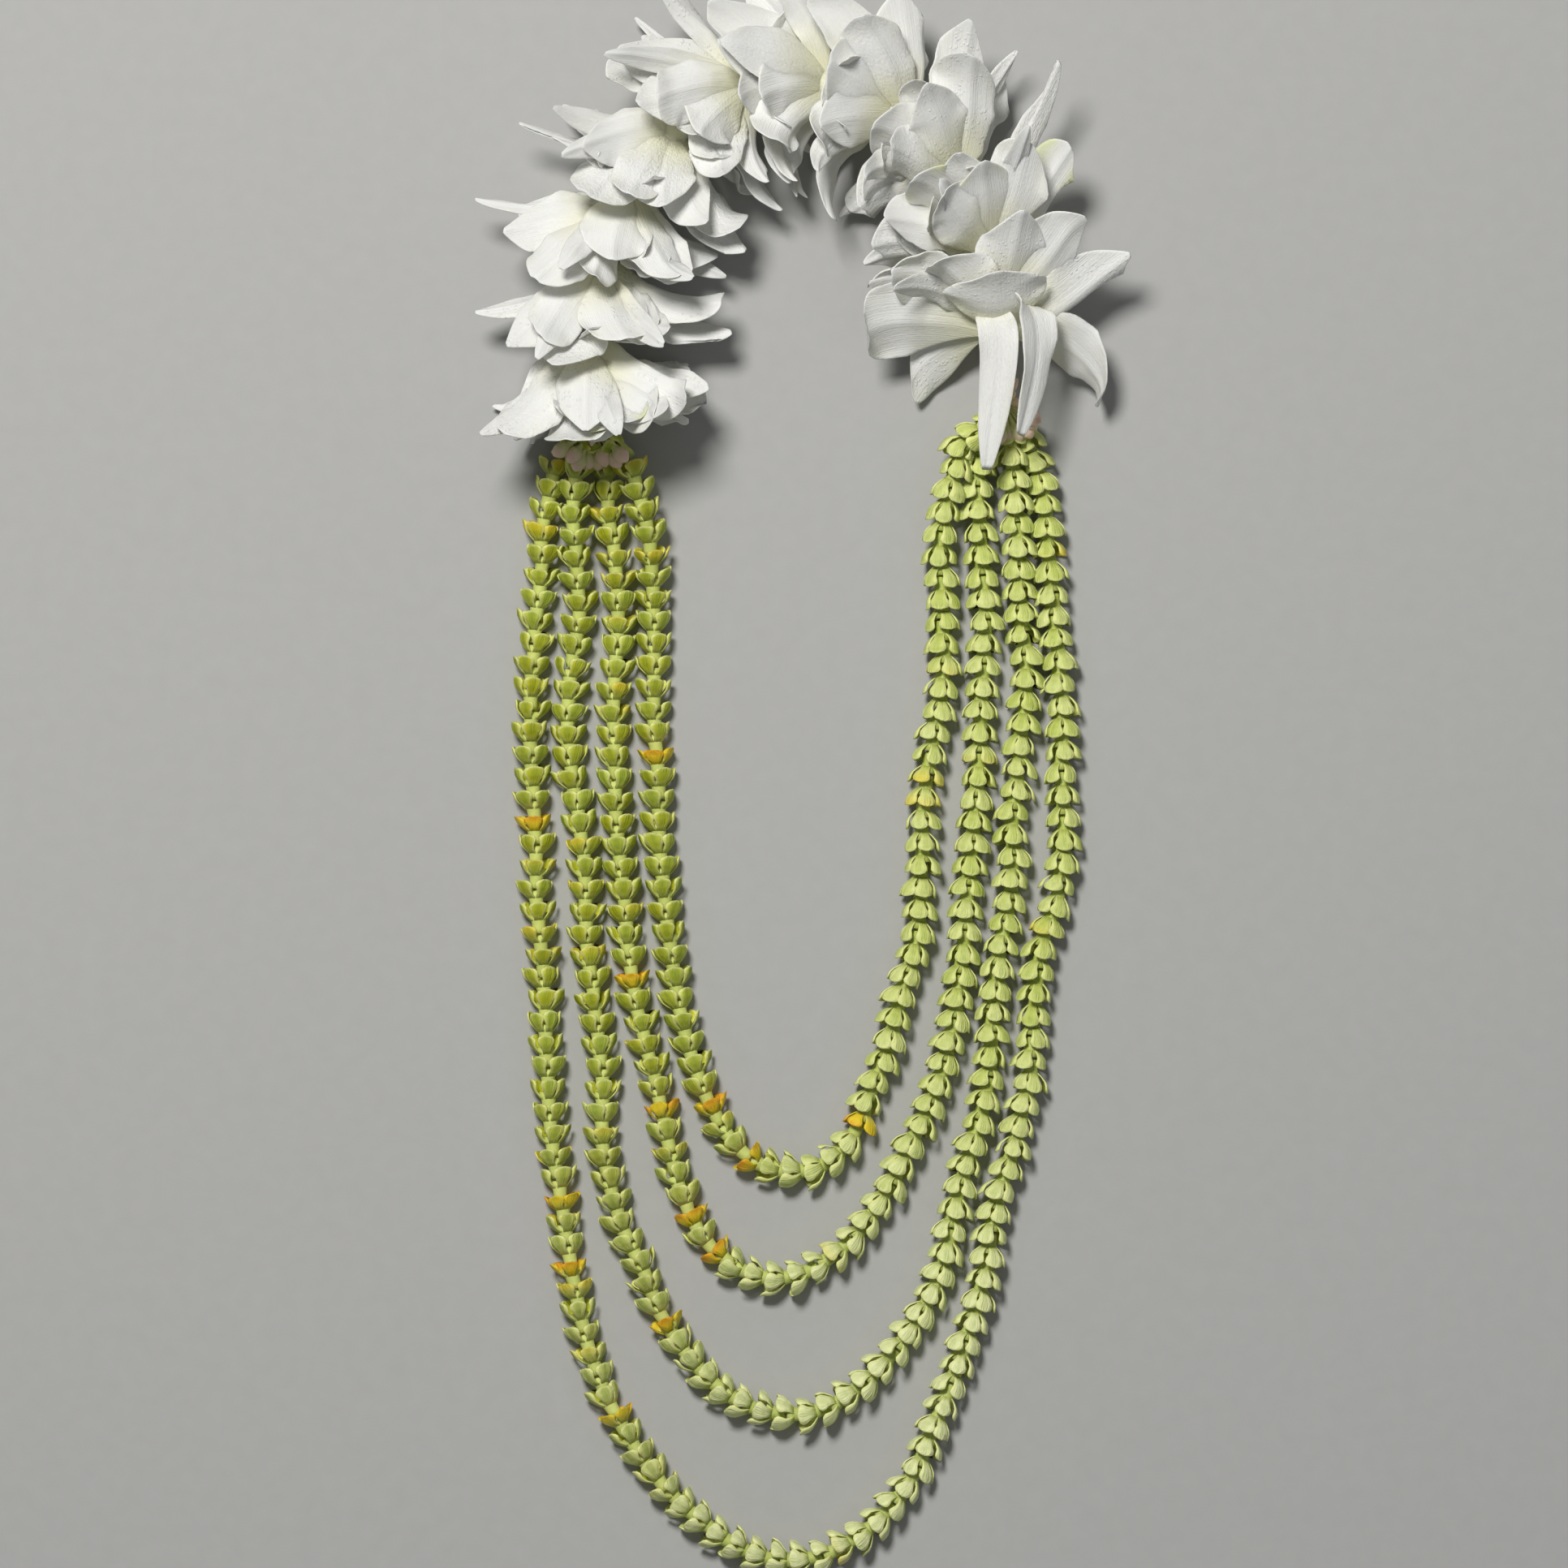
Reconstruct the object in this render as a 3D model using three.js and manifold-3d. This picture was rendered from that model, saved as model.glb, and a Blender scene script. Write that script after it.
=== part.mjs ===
// A long fresh-flower lei laid flat: ten gardenias strung face to back on the neck arc, and four nested
// strands of small green flowers hanging from a knot under a collar of buds at each end of the arc.
// Millimetres, +Z up. The lei rests on z = 0, the arc lies towards +Y and the strands hang towards -Y.
import * as THREE from "three";
import { mergeVertices } from "three/addons/utils/BufferGeometryUtils.js";
import Module from "manifold-3d";

const wasm = await Module();
wasm.setup();

const UP = new THREE.Vector3(0, 0, 1);
const SEED = 4711;

// ---- Strands of small green flowers -------------------------------------------------------------------
const FLORET_PITCH = 7.7; // from the throat of one flower to the throat of the next
const FLORET_PETALS = 4;
const THROAT_RADIUS = 2.9;
const VALLEY_RADIUS = 3.5; // between two petals
const VALLEY_AHEAD = 5.2; // along the strand, from the flower's own throat
const TIP_RADIUS = 6.2;
const TIP_AHEAD = 9.5; // the petal tips pass the next flower's throat
const WHORL_JITTER = 9; // degrees
const STRAND_AXIS_Z = 5.2;
const STRAND_END_MARGIN = 1; // bare thread at each end of a strand
const STRAND_RISE_LENGTH = 62; // the last stretch of each end climbs to the knot
const NODE_GAP = 0.3; // between two stretches of one strand
const NEIGHBOUR_CLEARANCE = 0.2; // kept on each side of the middle between two strands
const BOW_PARTS = 4;

// Routes of the strands, [x, y], from the right knot down, round the bow and up to the left knot. The
// mouths of the flowers point along the route. endZ is the height of the axis at both ends.
const STRANDS = [
  {
    name: "strand_1",
    endZ: 7,
    bowTop: -150,
    route: [
      [76.5, 117], [82, 100], [83.5, 83.5], [86, 57], [88, 31.5], [88.5, 6.5], [89, -19], [87, -38.5],
      [82, -55], [79, -77.5], [77, -103], [72, -125], [65.5, -147.5], [61.5, -170], [55.5, -192.5],
      [48.5, -212], [42.5, -226], [36, -241.5], [25, -254.5], [12, -264], [-3.5, -268.5],
      [-19, -265.5], [-34, -256], [-48.5, -243], [-60.5, -226.5], [-70, -208], [-76, -189.5],
      [-80, -170], [-84, -145], [-87.5, -122.5], [-89, -97], [-90, -69], [-92.5, -41], [-93, -16],
      [-94.5, 9], [-94.5, 29], [-93, 52.5], [-91, 71], [-90.5, 86], [-88, 100], [-85, 113.5],
    ],
  },
  {
    name: "strand_2",
    endZ: 12,
    bowTop: -110,
    route: [
      [70.5, 119], [71.5, 103], [73, 85], [74, 62.5], [76, 36], [74, 12], [71.5, -13], [71, -35.5],
      [67, -58], [64.5, -80.5], [63.5, -100], [58, -124], [52, -143.5], [47.5, -166], [39, -184.5],
      [26.5, -201], [12.5, -213], [-3.5, -218], [-19.5, -215], [-34.5, -204.5], [-47, -188.5],
      [-55.5, -169], [-64.5, -149], [-69.5, -126.5], [-70, -103], [-72.5, -77.5], [-75.5, -52.5],
      [-76, -30], [-79, -6], [-82, 16], [-81, 36], [-78, 55.5], [-78.5, 75], [-80, 92], [-78.5, 112.5],
    ],
  },
  {
    name: "strand_3",
    endZ: 7,
    bowTop: -85,
    route: [
      [60.5, 116], [59.5, 100], [60.5, 79], [62, 57], [61, 34.5], [60, 12], [58, -13], [56, -37],
      [54, -61], [51, -84.5], [45, -105.5], [36.5, -124.5], [27.5, -142], [16, -157.5], [2, -168],
      [-12, -171], [-25, -166.5], [-36, -156], [-43, -140.5], [-47.5, -122.5], [-52, -101.5],
      [-57, -82], [-60.5, -61], [-62.5, -38.5], [-65, -16], [-65.5, 8], [-66, 31.5], [-64.5, 54],
      [-65.5, 76.5], [-68, 94.5], [-68.5, 112.5],
    ],
  },
  {
    name: "strand_4",
    endZ: 12,
    bowTop: -62,
    route: [
      [54, 115], [50, 101.5], [47, 83.5], [47, 61], [47.5, 38.5], [44, 13.5], [40.5, -9], [40, -33],
      [38, -56.5], [33, -74], [28, -92], [22.5, -107.5], [16.5, -121.5], [7.5, -131], [-5, -134.5],
      [-18, -130.5], [-28.5, -119], [-36, -104], [-41.5, -86], [-45, -66.5], [-48, -44], [-50, -21.5],
      [-50.5, 1], [-52, 22], [-52, 44], [-52.5, 66.5], [-54, 85], [-57.5, 100], [-61, 112.5],
    ],
  },
];

// ---- Threads and cord -----------------------------------------------------------------------------------
const THREAD_RADIUS = 0.45;
const THREAD_BORE_RADIUS = 0.87;
const THREAD_SIDES = 4;
const THREAD_SAG = 0.6; // how far a straight stretch of thread may leave the strand's axis
const CORD_RADIUS = 0.9;
const CORD_BORE_RADIUS = 1.4;
const CORD_SIDES = 5;
const CORD_STEPS_PER_BLOOM = 2;
const KNOT_RADIUS = 2.4;
const RIGHT_KNOT = new THREE.Vector3(69.4, 126.6, 14);
const LEFT_KNOT = new THREE.Vector3(-72.6, 118.6, 14);

// ---- Gardenia garland -----------------------------------------------------------------------------------
const BLOOMS = 10;
const GARLAND_CENTRE = [-4, 152];
const GARLAND_RADII = [69.5, 88];
const GARLAND_START = -5.5; // degrees round the ellipse, at the right end
const GARLAND_END = 193;
const GARLAND_AXIS_Z = 24.4;
const CROWN_HEIGHT = 36; // petals that stand up bend over towards this height above the axis
const HANG_DEPTH = 27; // petals that hang down would bend out at this depth, and meet the surface first
const HANG_RATE = 1.4;
const ARC_RADIUS = 75; // typical radius of the arc, for the room that a bloom has on either side of it
const CORE_RADIUS = 5.5;
const PETAL_ROOT = 3; // distance of a petal's root from the cord
const PETAL_THICKNESS = 1.3;
const SHORT_REACH = 22; // a free petal of less reach bends away round the bud collar
const PETAL_ROWS = [0, 0.42, 0.78];
const LAYER_MARGIN = 0.15; // share of the pitch kept free towards the neighbouring blooms
const ROOT_MARGIN = 0.32; // petals grow from the middle of the core
const CUP_SLOPE = 0.5; // how far a petal leans forward for each millimetre outwards
const CUP_SLOPE_TOP = 0.4; // more lean for the petals that stand up

// Petals placed one by one, for each bloom from the right end: angle round the cord in degrees
// (0 outwards, 90 up, 180 into the neck arc), reach, width, layer (0 at the back of the bloom and 1 at
// the front; beyond that range on the two end blooms, where the petals are free), and twist in degrees.
const FEATURE_PETALS = [
  [
    [180, 46, 25, -0.3, 55], [206, 32, 25, -0.9, 60], [95, 12, 15, -1.75, 0], [48, 19, 18, -1.45, 0],
    [-12, 42, 26, -1.1, 55], [2, 47, 26, 0.2, 60], [160, 36, 28, 0.72, 40], [24, 38, 28, 0.6, 45],
    [88, 29, 40, 0.2, 0], [178, 41, 20, 0.8, 50], [124, 34, 28, 0.5, 0], [62, 33, 27, 0.7, 0],
  ],
  [
    [8, 40, 27, 0.3, 70], [187, 39, 13, 0.36, 60], [4, 50, 15, 0.82, 60], [112, 34, 30, 0.7, 0],
    [72, 33, 32, 0.35, 0],
  ],
  [[106, 33, 30, 0.62, 0], [9, 40, 25, 0.65, 60], [68, 34, 30, 0.35, 0], [30, 36, 26, 0.35, 50]],
  [[30, 38, 26, 0.68, 60], [8, 38, 25, 0.25, 60], [180, 43, 12, 0.45, 50], [80, 33, 34, 0.4, 0]],
  [
    [22, 34, 28, 0.7, 60], [8, 39, 11, 0.24, 50], [172, 36, 13, 0.7, 40], [100, 33, 32, 0.3, 0],
    [62, 33, 28, 0.6, 0],
  ],
  [
    [170, 34, 12, 0.27, 40], [18, 34, 28, 0.68, 60], [2, 39, 10, 0.18, 50], [104, 33, 31, 0.3, 0],
    [66, 33, 30, 0.6, 0],
  ],
  [
    [70, 33, 31, 0.7, 0], [183, 45, 22, 0.6, 50], [12, 34, 10, 0.5, 50], [-4, 38, 9, 0.82, 50],
    [116, 34, 30, 0.4, 30],
  ],
  [[8, 34, 24, 0.64, 60], [-6, 41, 9, 0.52, 50], [56, 35, 28, 0.7, 10], [98, 34, 32, 0.3, 0]],
  [
    [181, 42, 17, 0.2, 50], [190, 46, 15, 0.65, 50], [-9, 36, 12, 0.54, 50], [70, 33, 31, 0.7, 0],
    [112, 34, 32, 0.35, 0],
  ],
  [
    [104, 29, 32, 0.6, 0], [66, 29, 32, 0.75, 0], [-18, 24, 12, 1.02, 30], [0, 20, 10, 1.12, 0],
    [86, 19, 22, 1.2, 0], [196, 26, 12, 1.15, 30], [184, 35, 22, 0.7, 50],
  ],
];
const RESTING_PETAL = [270, 40, 28, 0.5, 0]; // every bloom lies on one such petal
// Petals that fill the blooms by rule: petals in the ring, reach, width, layer.
const PETAL_RINGS = [
  { count: 5, reach: 39, width: 28, layer: 0.2 },
  { count: 3, reach: 31, width: 27, layer: 0.7 },
];
const SIDE_TWIST = 60; // degrees; petals beside the cord turn their backs up
const SAME_PLACE_ANGLE = 26; // a ring petal this near to a placed one, in a near layer, is left out
const SAME_PLACE_LAYER = 0.3;

// ---- Bud collars ----------------------------------------------------------------------------------------
const COLLAR_CORE_RADIUS = 3.4;
const COLLAR_BUDS = 7;
const BUD_LENGTH = 6.6;
const BUD_RADIUS = 2;
const BUD_SIDES = 4;

// ---- Materials ------------------------------------------------------------------------------------------
const olive = new THREE.MeshStandardMaterial({ color: 0x9aa83c, roughness: 0.6, metalness: 0 });
const lime = new THREE.MeshStandardMaterial({ color: 0xb9c97a, roughness: 0.6, metalness: 0 });
const white = new THREE.MeshStandardMaterial({ color: 0xf2f3ec, roughness: 0.55, metalness: 0 });
const cream = new THREE.MeshStandardMaterial({ color: 0xdcd2b4, roughness: 0.5, metalness: 0 });
const thread = new THREE.MeshStandardMaterial({ color: 0xe9e6da, roughness: 0.85, metalness: 0 });

const SLIVER_SIZE = 0.02; // edges shorter than this are closed up after a join or a cut

const lei = new THREE.Group();

// ---- Helpers --------------------------------------------------------------------------------------------

// Repeatable draws between 0 and 1.
function makeRandom(seed) {
  let state = seed;
  return () => {
    state = (state * 48271) % 2147483647;
    return state / 2147483647;
  };
}

function degrees(value) {
  return THREE.MathUtils.degToRad(value);
}

// Faces between two rings of points, by index. Rings may hold equal numbers of points, a single point,
// or twice as many as the other: then the denser ring starts at a petal tip.
function laceRings(a, b, faces) {
  const n = a.length;
  const m = b.length;
  if (m === 1) a.forEach((p, k) => faces.push(p, a[(k + 1) % n], b[0]));
  else if (n === 1) b.forEach((p, k) => faces.push(a[0], b[(k + 1) % m], p));
  else if (n === m) {
    a.forEach((p, k) => {
      const next = (k + 1) % n;
      faces.push(p, a[next], b[next], p, b[next], b[k]);
    });
  } else if (m === 2 * n) {
    a.forEach((p, k) => {
      const before = b[(2 * k - 1 + m) % m];
      const tip = b[2 * k];
      const after = b[2 * k + 1];
      faces.push(p, tip, before, p, after, tip, p, a[(k + 1) % n], after);
    });
  } else {
    b.forEach((p, k) => {
      const previous = b[(k - 1 + m) % m];
      const before = a[(2 * k - 1 + n) % n];
      const tip = a[2 * k];
      const after = a[2 * k + 1];
      faces.push(tip, after, p, tip, p, previous, tip, previous, before);
    });
  }
}

// A closed solid through a list of rings; an end ring of more than one point gets a flat cap.
function solidThroughRings(rings) {
  const positions = [];
  const faces = [];
  const indexed = rings.map((ring) =>
    ring.map((point) => {
      positions.push(point.x, point.y, point.z);
      return positions.length / 3 - 1;
    }),
  );
  const first = indexed[0];
  const last = indexed[indexed.length - 1];
  for (let k = 1; k < first.length - 1; k++) faces.push(first[0], first[k + 1], first[k]);
  for (let k = 1; k < last.length - 1; k++) faces.push(last[0], last[k], last[k + 1]);
  for (let k = 1; k < indexed.length; k++) laceRings(indexed[k - 1], indexed[k], faces);
  const geometry = new THREE.BufferGeometry();
  geometry.setAttribute("position", new THREE.Float32BufferAttribute(positions, 3));
  geometry.setIndex(faces);
  return toSolid(geometry);
}

// A closed three.js geometry as a manifold-3d solid, turned the right way out.
function toSolid(geometry) {
  const bare = geometry.clone();
  bare.deleteAttribute("normal");
  bare.deleteAttribute("uv");
  const merged = mergeVertices(bare, 1e-4);
  const vertProperties = new Float32Array(merged.attributes.position.array);
  const triVerts = new Uint32Array(merged.index.array);
  const made = new wasm.Manifold(new wasm.Mesh({ numProp: 3, vertProperties, triVerts }));
  if (made.volume() > 0) return made;
  for (let k = 0; k < triVerts.length; k += 3) triVerts.subarray(k, k + 3).reverse();
  return new wasm.Manifold(new wasm.Mesh({ numProp: 3, vertProperties, triVerts }));
}

// The largest body of a solid, without the scraps and slivers that a cut may leave.
function largestBody(solid) {
  const bodies = solid.simplify(SLIVER_SIZE).decompose();
  return bodies.reduce((best, body) => (body.volume() > best.volume() ? body : best));
}

function addMesh(name, solid, material) {
  const mesh = largestBody(solid).getMesh();
  const geometry = new THREE.BufferGeometry();
  geometry.setAttribute("position", new THREE.Float32BufferAttribute(mesh.vertProperties, 3));
  geometry.setIndex(Array.from(mesh.triVerts));
  geometry.computeVertexNormals();
  const part = new THREE.Mesh(geometry, material);
  part.name = name;
  lei.add(part);
}

// A tube of flat sides through a polyline; its rings stand on the mitres.
function tubeThrough(points, radius, sides) {
  const rings = points.map((point, k) => {
    const before = points[Math.max(k - 1, 0)];
    const after = points[Math.min(k + 1, points.length - 1)];
    const along = after.clone().sub(before).normalize();
    const side = new THREE.Vector3().crossVectors(along, UP).normalize();
    const up = new THREE.Vector3().crossVectors(side, along);
    return Array.from({ length: sides }, (_, j) => {
      const turn = (2 * Math.PI * j) / sides;
      const offset = side.clone().multiplyScalar(Math.cos(turn)).addScaledVector(up, Math.sin(turn));
      return point.clone().addScaledVector(offset, radius);
    });
  });
  return solidThroughRings(rings);
}

// ---- Strands --------------------------------------------------------------------------------------------

// The axis of a strand in space: the flat route, climbing at both ends to the height of the knots.
function strandCurve(strand) {
  const flat = strand.route.map(([x, y]) => new THREE.Vector3(x, y, STRAND_AXIS_Z));
  const walked = [0];
  for (let k = 1; k < flat.length; k++) walked.push(walked[k - 1] + flat[k].distanceTo(flat[k - 1]));
  const length = walked[walked.length - 1];
  flat.forEach((point, k) => {
    const toEnd = Math.min(walked[k], length - walked[k]);
    const rise = THREE.MathUtils.smoothstep(STRAND_RISE_LENGTH - toEnd, 0, STRAND_RISE_LENGTH);
    point.z += (strand.endZ - STRAND_AXIS_Z) * rise;
  });
  const curve = new THREE.CatmullRomCurve3(flat, false, "catmullrom", 0.5);
  curve.arcLengthDivisions = 800;
  return curve;
}

function frameAt(curve, distance) {
  const share = THREE.MathUtils.clamp(distance / curve.getLength(), 0, 1);
  const point = curve.getPointAt(share);
  const along = curve.getTangentAt(share);
  const side = new THREE.Vector3().crossVectors(along, UP).normalize();
  const up = new THREE.Vector3().crossVectors(side, along);
  return { point, side, up };
}

// How far a petal may reach from the axis before it meets the surface or the middle to a neighbour.
function petalReach(point, direction, neighbours) {
  let reach = TIP_RADIUS;
  if (direction.z < 0) reach = Math.min(reach, point.z / -direction.z);
  for (const samples of neighbours) {
    let nearest = samples[0];
    for (const sample of samples) {
      if (sample.distanceToSquared(point) < nearest.distanceToSquared(point)) nearest = sample;
    }
    const towards = nearest.clone().sub(point);
    const gap = towards.length();
    const share = direction.dot(towards) / gap;
    if (share > 0.05) reach = Math.min(reach, (gap / 2 - NEIGHBOUR_CLEARANCE) / share);
  }
  return Math.max(reach, VALLEY_RADIUS);
}

function ringAt(curve, distance, radius, count, firstAngle) {
  const { point, side, up } = frameAt(curve, distance);
  return Array.from({ length: count }, (_, k) => {
    const angle = firstAngle + (2 * Math.PI * k) / count;
    const direction = side.clone().multiplyScalar(Math.cos(angle)).addScaledVector(up, Math.sin(angle));
    return point.clone().addScaledVector(direction, radius);
  });
}

// The ring of a flower's petals: tips and the valleys between them take turns.
function petalRing(curve, throat, firstAngle, neighbours) {
  const tipFrame = frameAt(curve, throat + TIP_AHEAD);
  const valleys = ringAt(
    curve, throat + VALLEY_AHEAD, VALLEY_RADIUS, FLORET_PETALS, firstAngle + Math.PI / FLORET_PETALS,
  );
  return valleys.flatMap((valley, k) => {
    const angle = firstAngle + (2 * Math.PI * k) / FLORET_PETALS;
    const direction = tipFrame.side.clone().multiplyScalar(Math.cos(angle));
    direction.addScaledVector(tipFrame.up, Math.sin(angle));
    const reach = petalReach(tipFrame.point, direction, neighbours);
    return [tipFrame.point.clone().addScaledVector(direction, reach), valley];
  });
}

// Distances of the throats along the strand, and the turn of each whorl.
function floretPlan(curve, random) {
  const usable = curve.getLength() - 2 * STRAND_END_MARGIN - (TIP_AHEAD - FLORET_PITCH);
  const count = Math.round(usable / FLORET_PITCH);
  const pitch = usable / count;
  let angle = Math.PI / 2;
  return Array.from({ length: count + 1 }, (_, k) => {
    const plan = { throat: STRAND_END_MARGIN + k * pitch, angle };
    angle += Math.PI / FLORET_PETALS + degrees(WHORL_JITTER) * (random() - 0.5);
    return plan;
  });
}

// One stretch of flowers, from plan[from] up to the throat of plan[to].
function floretStretch(curve, plan, from, to, neighbours) {
  const rings = [];
  for (let k = from; k < to; k++) {
    const { throat, angle } = plan[k];
    const start = throat + (k === from ? NODE_GAP / 2 : 0);
    rings.push(ringAt(curve, start, THROAT_RADIUS, FLORET_PETALS, angle));
    rings.push(petalRing(curve, throat, angle, neighbours));
  }
  const end = plan[to];
  rings.push(ringAt(curve, end.throat - NODE_GAP / 2, THROAT_RADIUS, FLORET_PETALS, end.angle));
  return solidThroughRings(rings);
}

// Thread through the axis of a strand, straight wherever that stays near the axis.
function threadPoints(curve) {
  const length = curve.getLength();
  const samples = [];
  for (let d = 0; d < length; d += FLORET_PITCH / 2) samples.push(frameAt(curve, d).point);
  samples.push(frameAt(curve, length).point);
  const kept = [0];
  const line = new THREE.Line3();
  const nearest = new THREE.Vector3();
  for (let k = 2; k < samples.length; k++) {
    const from = kept[kept.length - 1];
    line.set(samples[from], samples[k]);
    const sag = samples
      .slice(from + 1, k)
      .reduce((most, p) => Math.max(most, line.closestPointToPoint(p, true, nearest).distanceTo(p)), 0);
    if (sag > THREAD_SAG) kept.push(k - 1);
  }
  kept.push(samples.length - 1);
  const points = kept.map((k) => samples[k]);
  return [threadEnd(RIGHT_KNOT, points[0]), ...points, threadEnd(LEFT_KNOT, points[points.length - 1])];
}

// Where a thread that comes from a strand stops just off the knot.
function threadEnd(knot, from) {
  const direction = from.clone().sub(knot).normalize();
  return knot.clone().addScaledVector(direction, KNOT_RADIUS + NODE_GAP);
}

// Index of the first flower past a height, on the way down or on the way up.
function bowRange(curve, plan, bowTop) {
  const below = plan.map(({ throat }) => frameAt(curve, throat).point.y < bowTop);
  return [below.indexOf(true), below.lastIndexOf(true) + 1];
}

function addStrands() {
  const curves = STRANDS.map(strandCurve);
  const samples = curves.map((curve) => curve.getSpacedPoints(Math.round(curve.getLength() / 2)));
  const random = makeRandom(SEED);
  STRANDS.forEach((strand, index) => {
    const curve = curves[index];
    const neighbours = samples.filter((_, k) => k !== index);
    const plan = floretPlan(curve, random);
    const line = threadPoints(curve);
    const bore = tubeThrough(line, THREAD_BORE_RADIUS, THREAD_SIDES);
    const [bowStart, bowEnd] = bowRange(curve, plan, strand.bowTop);
    const add = (suffix, from, to, material) => {
      const stretch = floretStretch(curve, plan, from, to, neighbours);
      addMesh(`${strand.name}_${suffix}`, stretch.subtract(bore), material);
    };
    add("right_leg", 0, bowStart, lime);
    for (let k = 0; k < BOW_PARTS; k++) {
      const from = bowStart + Math.round(((bowEnd - bowStart) * k) / BOW_PARTS);
      const to = bowStart + Math.round(((bowEnd - bowStart) * (k + 1)) / BOW_PARTS);
      add(`bow_${k + 1}`, from, to, k < BOW_PARTS / 2 ? lime : olive);
    }
    add("left_leg", bowEnd, plan.length - 1, olive);
    addMesh(`thread_${index + 1}`, tubeThrough(line, THREAD_RADIUS, THREAD_SIDES), thread);
  });
}

// ---- Garland --------------------------------------------------------------------------------------------

const garland = new THREE.EllipseCurve(
  ...GARLAND_CENTRE, ...GARLAND_RADII, degrees(GARLAND_START), degrees(GARLAND_END),
);
garland.arcLengthDivisions = 800;
const GARLAND_LENGTH = garland.getLength();
const BLOOM_PITCH = GARLAND_LENGTH / BLOOMS;

// A point of the garland: distance along the cord, offset outwards from the arc, and height above the
// cord. Petals that stand up bend over, and petals that hang down flatten above the surface.
function garlandPoint(distance, outwards, height) {
  const inside = THREE.MathUtils.clamp(distance, 0, GARLAND_LENGTH);
  const centre = garland.getPointAt(inside / GARLAND_LENGTH);
  const tangent = garland.getTangentAt(inside / GARLAND_LENGTH);
  const past = distance - inside;
  const bent =
    height < 0
      ? HANG_DEPTH * Math.tanh((HANG_RATE * height) / HANG_DEPTH)
      : CROWN_HEIGHT * Math.tanh(height / CROWN_HEIGHT);
  return new THREE.Vector3(
    centre.x + tangent.x * past + tangent.y * outwards,
    centre.y + tangent.y * past - tangent.x * outwards,
    Math.max(GARLAND_AXIS_Z + bent, 0),
  );
}

// The same, from a layer of a bloom: every bloom fills its own nested cup, so that no two blooms meet.
function bloomPoint(start, layer, outwards, height) {
  const radius = Math.hypot(outwards, height);
  const upright = radius > 0 ? Math.max(0, height / radius) : 0;
  const lean = radius * (CUP_SLOPE + CUP_SLOPE_TOP * upright);
  return garlandPoint(start + layer * BLOOM_PITCH + lean, outwards, height);
}

function insideLayers(layer, margin) {
  return THREE.MathUtils.clamp(layer, margin, 1 - margin);
}

function makePetal(angle, reach, width, layer, twist) {
  const free = layer < 0 || layer > 1;
  const root = insideLayers(layer, ROOT_MARGIN);
  const tip = free ? layer : insideLayers(layer, LAYER_MARGIN);
  return { angle: degrees(angle), reach, width, root, tip, free, twist: degrees(twist) };
}

// A point of a petal's middle surface: u from root to tip, v across from -1 to 1.
function petalPoint(start, petal, u, v) {
  const rush = petal.reach < SHORT_REACH ? 3 : 1.3;
  const spread = petal.free ? 1 - (1 - u) ** rush : u;
  const radius = PETAL_ROOT + (petal.reach - PETAL_ROOT) * spread;
  const shape = 0.07 + 1.5 * u * (1 - u ** 1.6) + 0.17 * u;
  const across = v * petal.width * Math.min(shape, 0.5);
  const flat = across * Math.cos(petal.twist);
  const outwards = radius * Math.cos(petal.angle) - flat * Math.sin(petal.angle);
  const height = radius * Math.sin(petal.angle) + flat * Math.cos(petal.angle);
  const room = BLOOM_PITCH * (1 + outwards / ARC_RADIUS);
  const turned = (across * Math.sin(petal.twist) * Math.sign(Math.cos(petal.angle))) / room;
  const swing = petal.free ? u ** rush : Math.min(1, 2.4 * u);
  const layer = petal.root + (petal.tip - petal.root) * swing + turned;
  return bloomPoint(start, petal.free ? layer : insideLayers(layer, LAYER_MARGIN), outwards, height);
}

// A blade with a flat underside, a ridge along its upper side, sharp edges and a pointed tip.
function petalSolid(start, petal) {
  const step = 0.05;
  const rows = PETAL_ROWS.map((u) => {
    const middle = petalPoint(start, petal, u, 0);
    const ahead = petalPoint(start, petal, u + step, 0).sub(middle);
    const left = petalPoint(start, petal, u, -1);
    const right = petalPoint(start, petal, u, 1);
    const normal = new THREE.Vector3().crossVectors(ahead, right.clone().sub(left)).normalize();
    return { middle, left, right, normal };
  });
  const upper = Math.sign(rows.reduce((sum, row) => sum + row.normal.z, 0)) || 1;
  const rings = rows.map(({ middle, left, right, normal }) => {
    normal.multiplyScalar(upper);
    const chord = left.clone().lerp(right, 0.5);
    const bulge = middle.clone().sub(chord).dot(normal);
    const ridge = (bulge > 0 ? middle : chord).addScaledVector(normal, PETAL_THICKNESS);
    return [left, ridge, right];
  });
  rings.push([petalPoint(start, petal, 1, 0)]);
  return solidThroughRings(rings);
}

function bloomCore(start) {
  const sides = 6;
  const ring = (layer, radius) =>
    Array.from({ length: sides }, (_, k) => {
      const turn = (2 * Math.PI * k) / sides;
      return bloomPoint(start, layer, radius * Math.cos(turn), radius * Math.sin(turn));
    });
  return solidThroughRings([
    [bloomPoint(start, LAYER_MARGIN, 0, 0)],
    ring(LAYER_MARGIN, CORE_RADIUS),
    ring(1 - LAYER_MARGIN, CORE_RADIUS * 0.8),
    [bloomPoint(start, 1 - LAYER_MARGIN, 0, 0)],
  ]);
}

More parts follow.
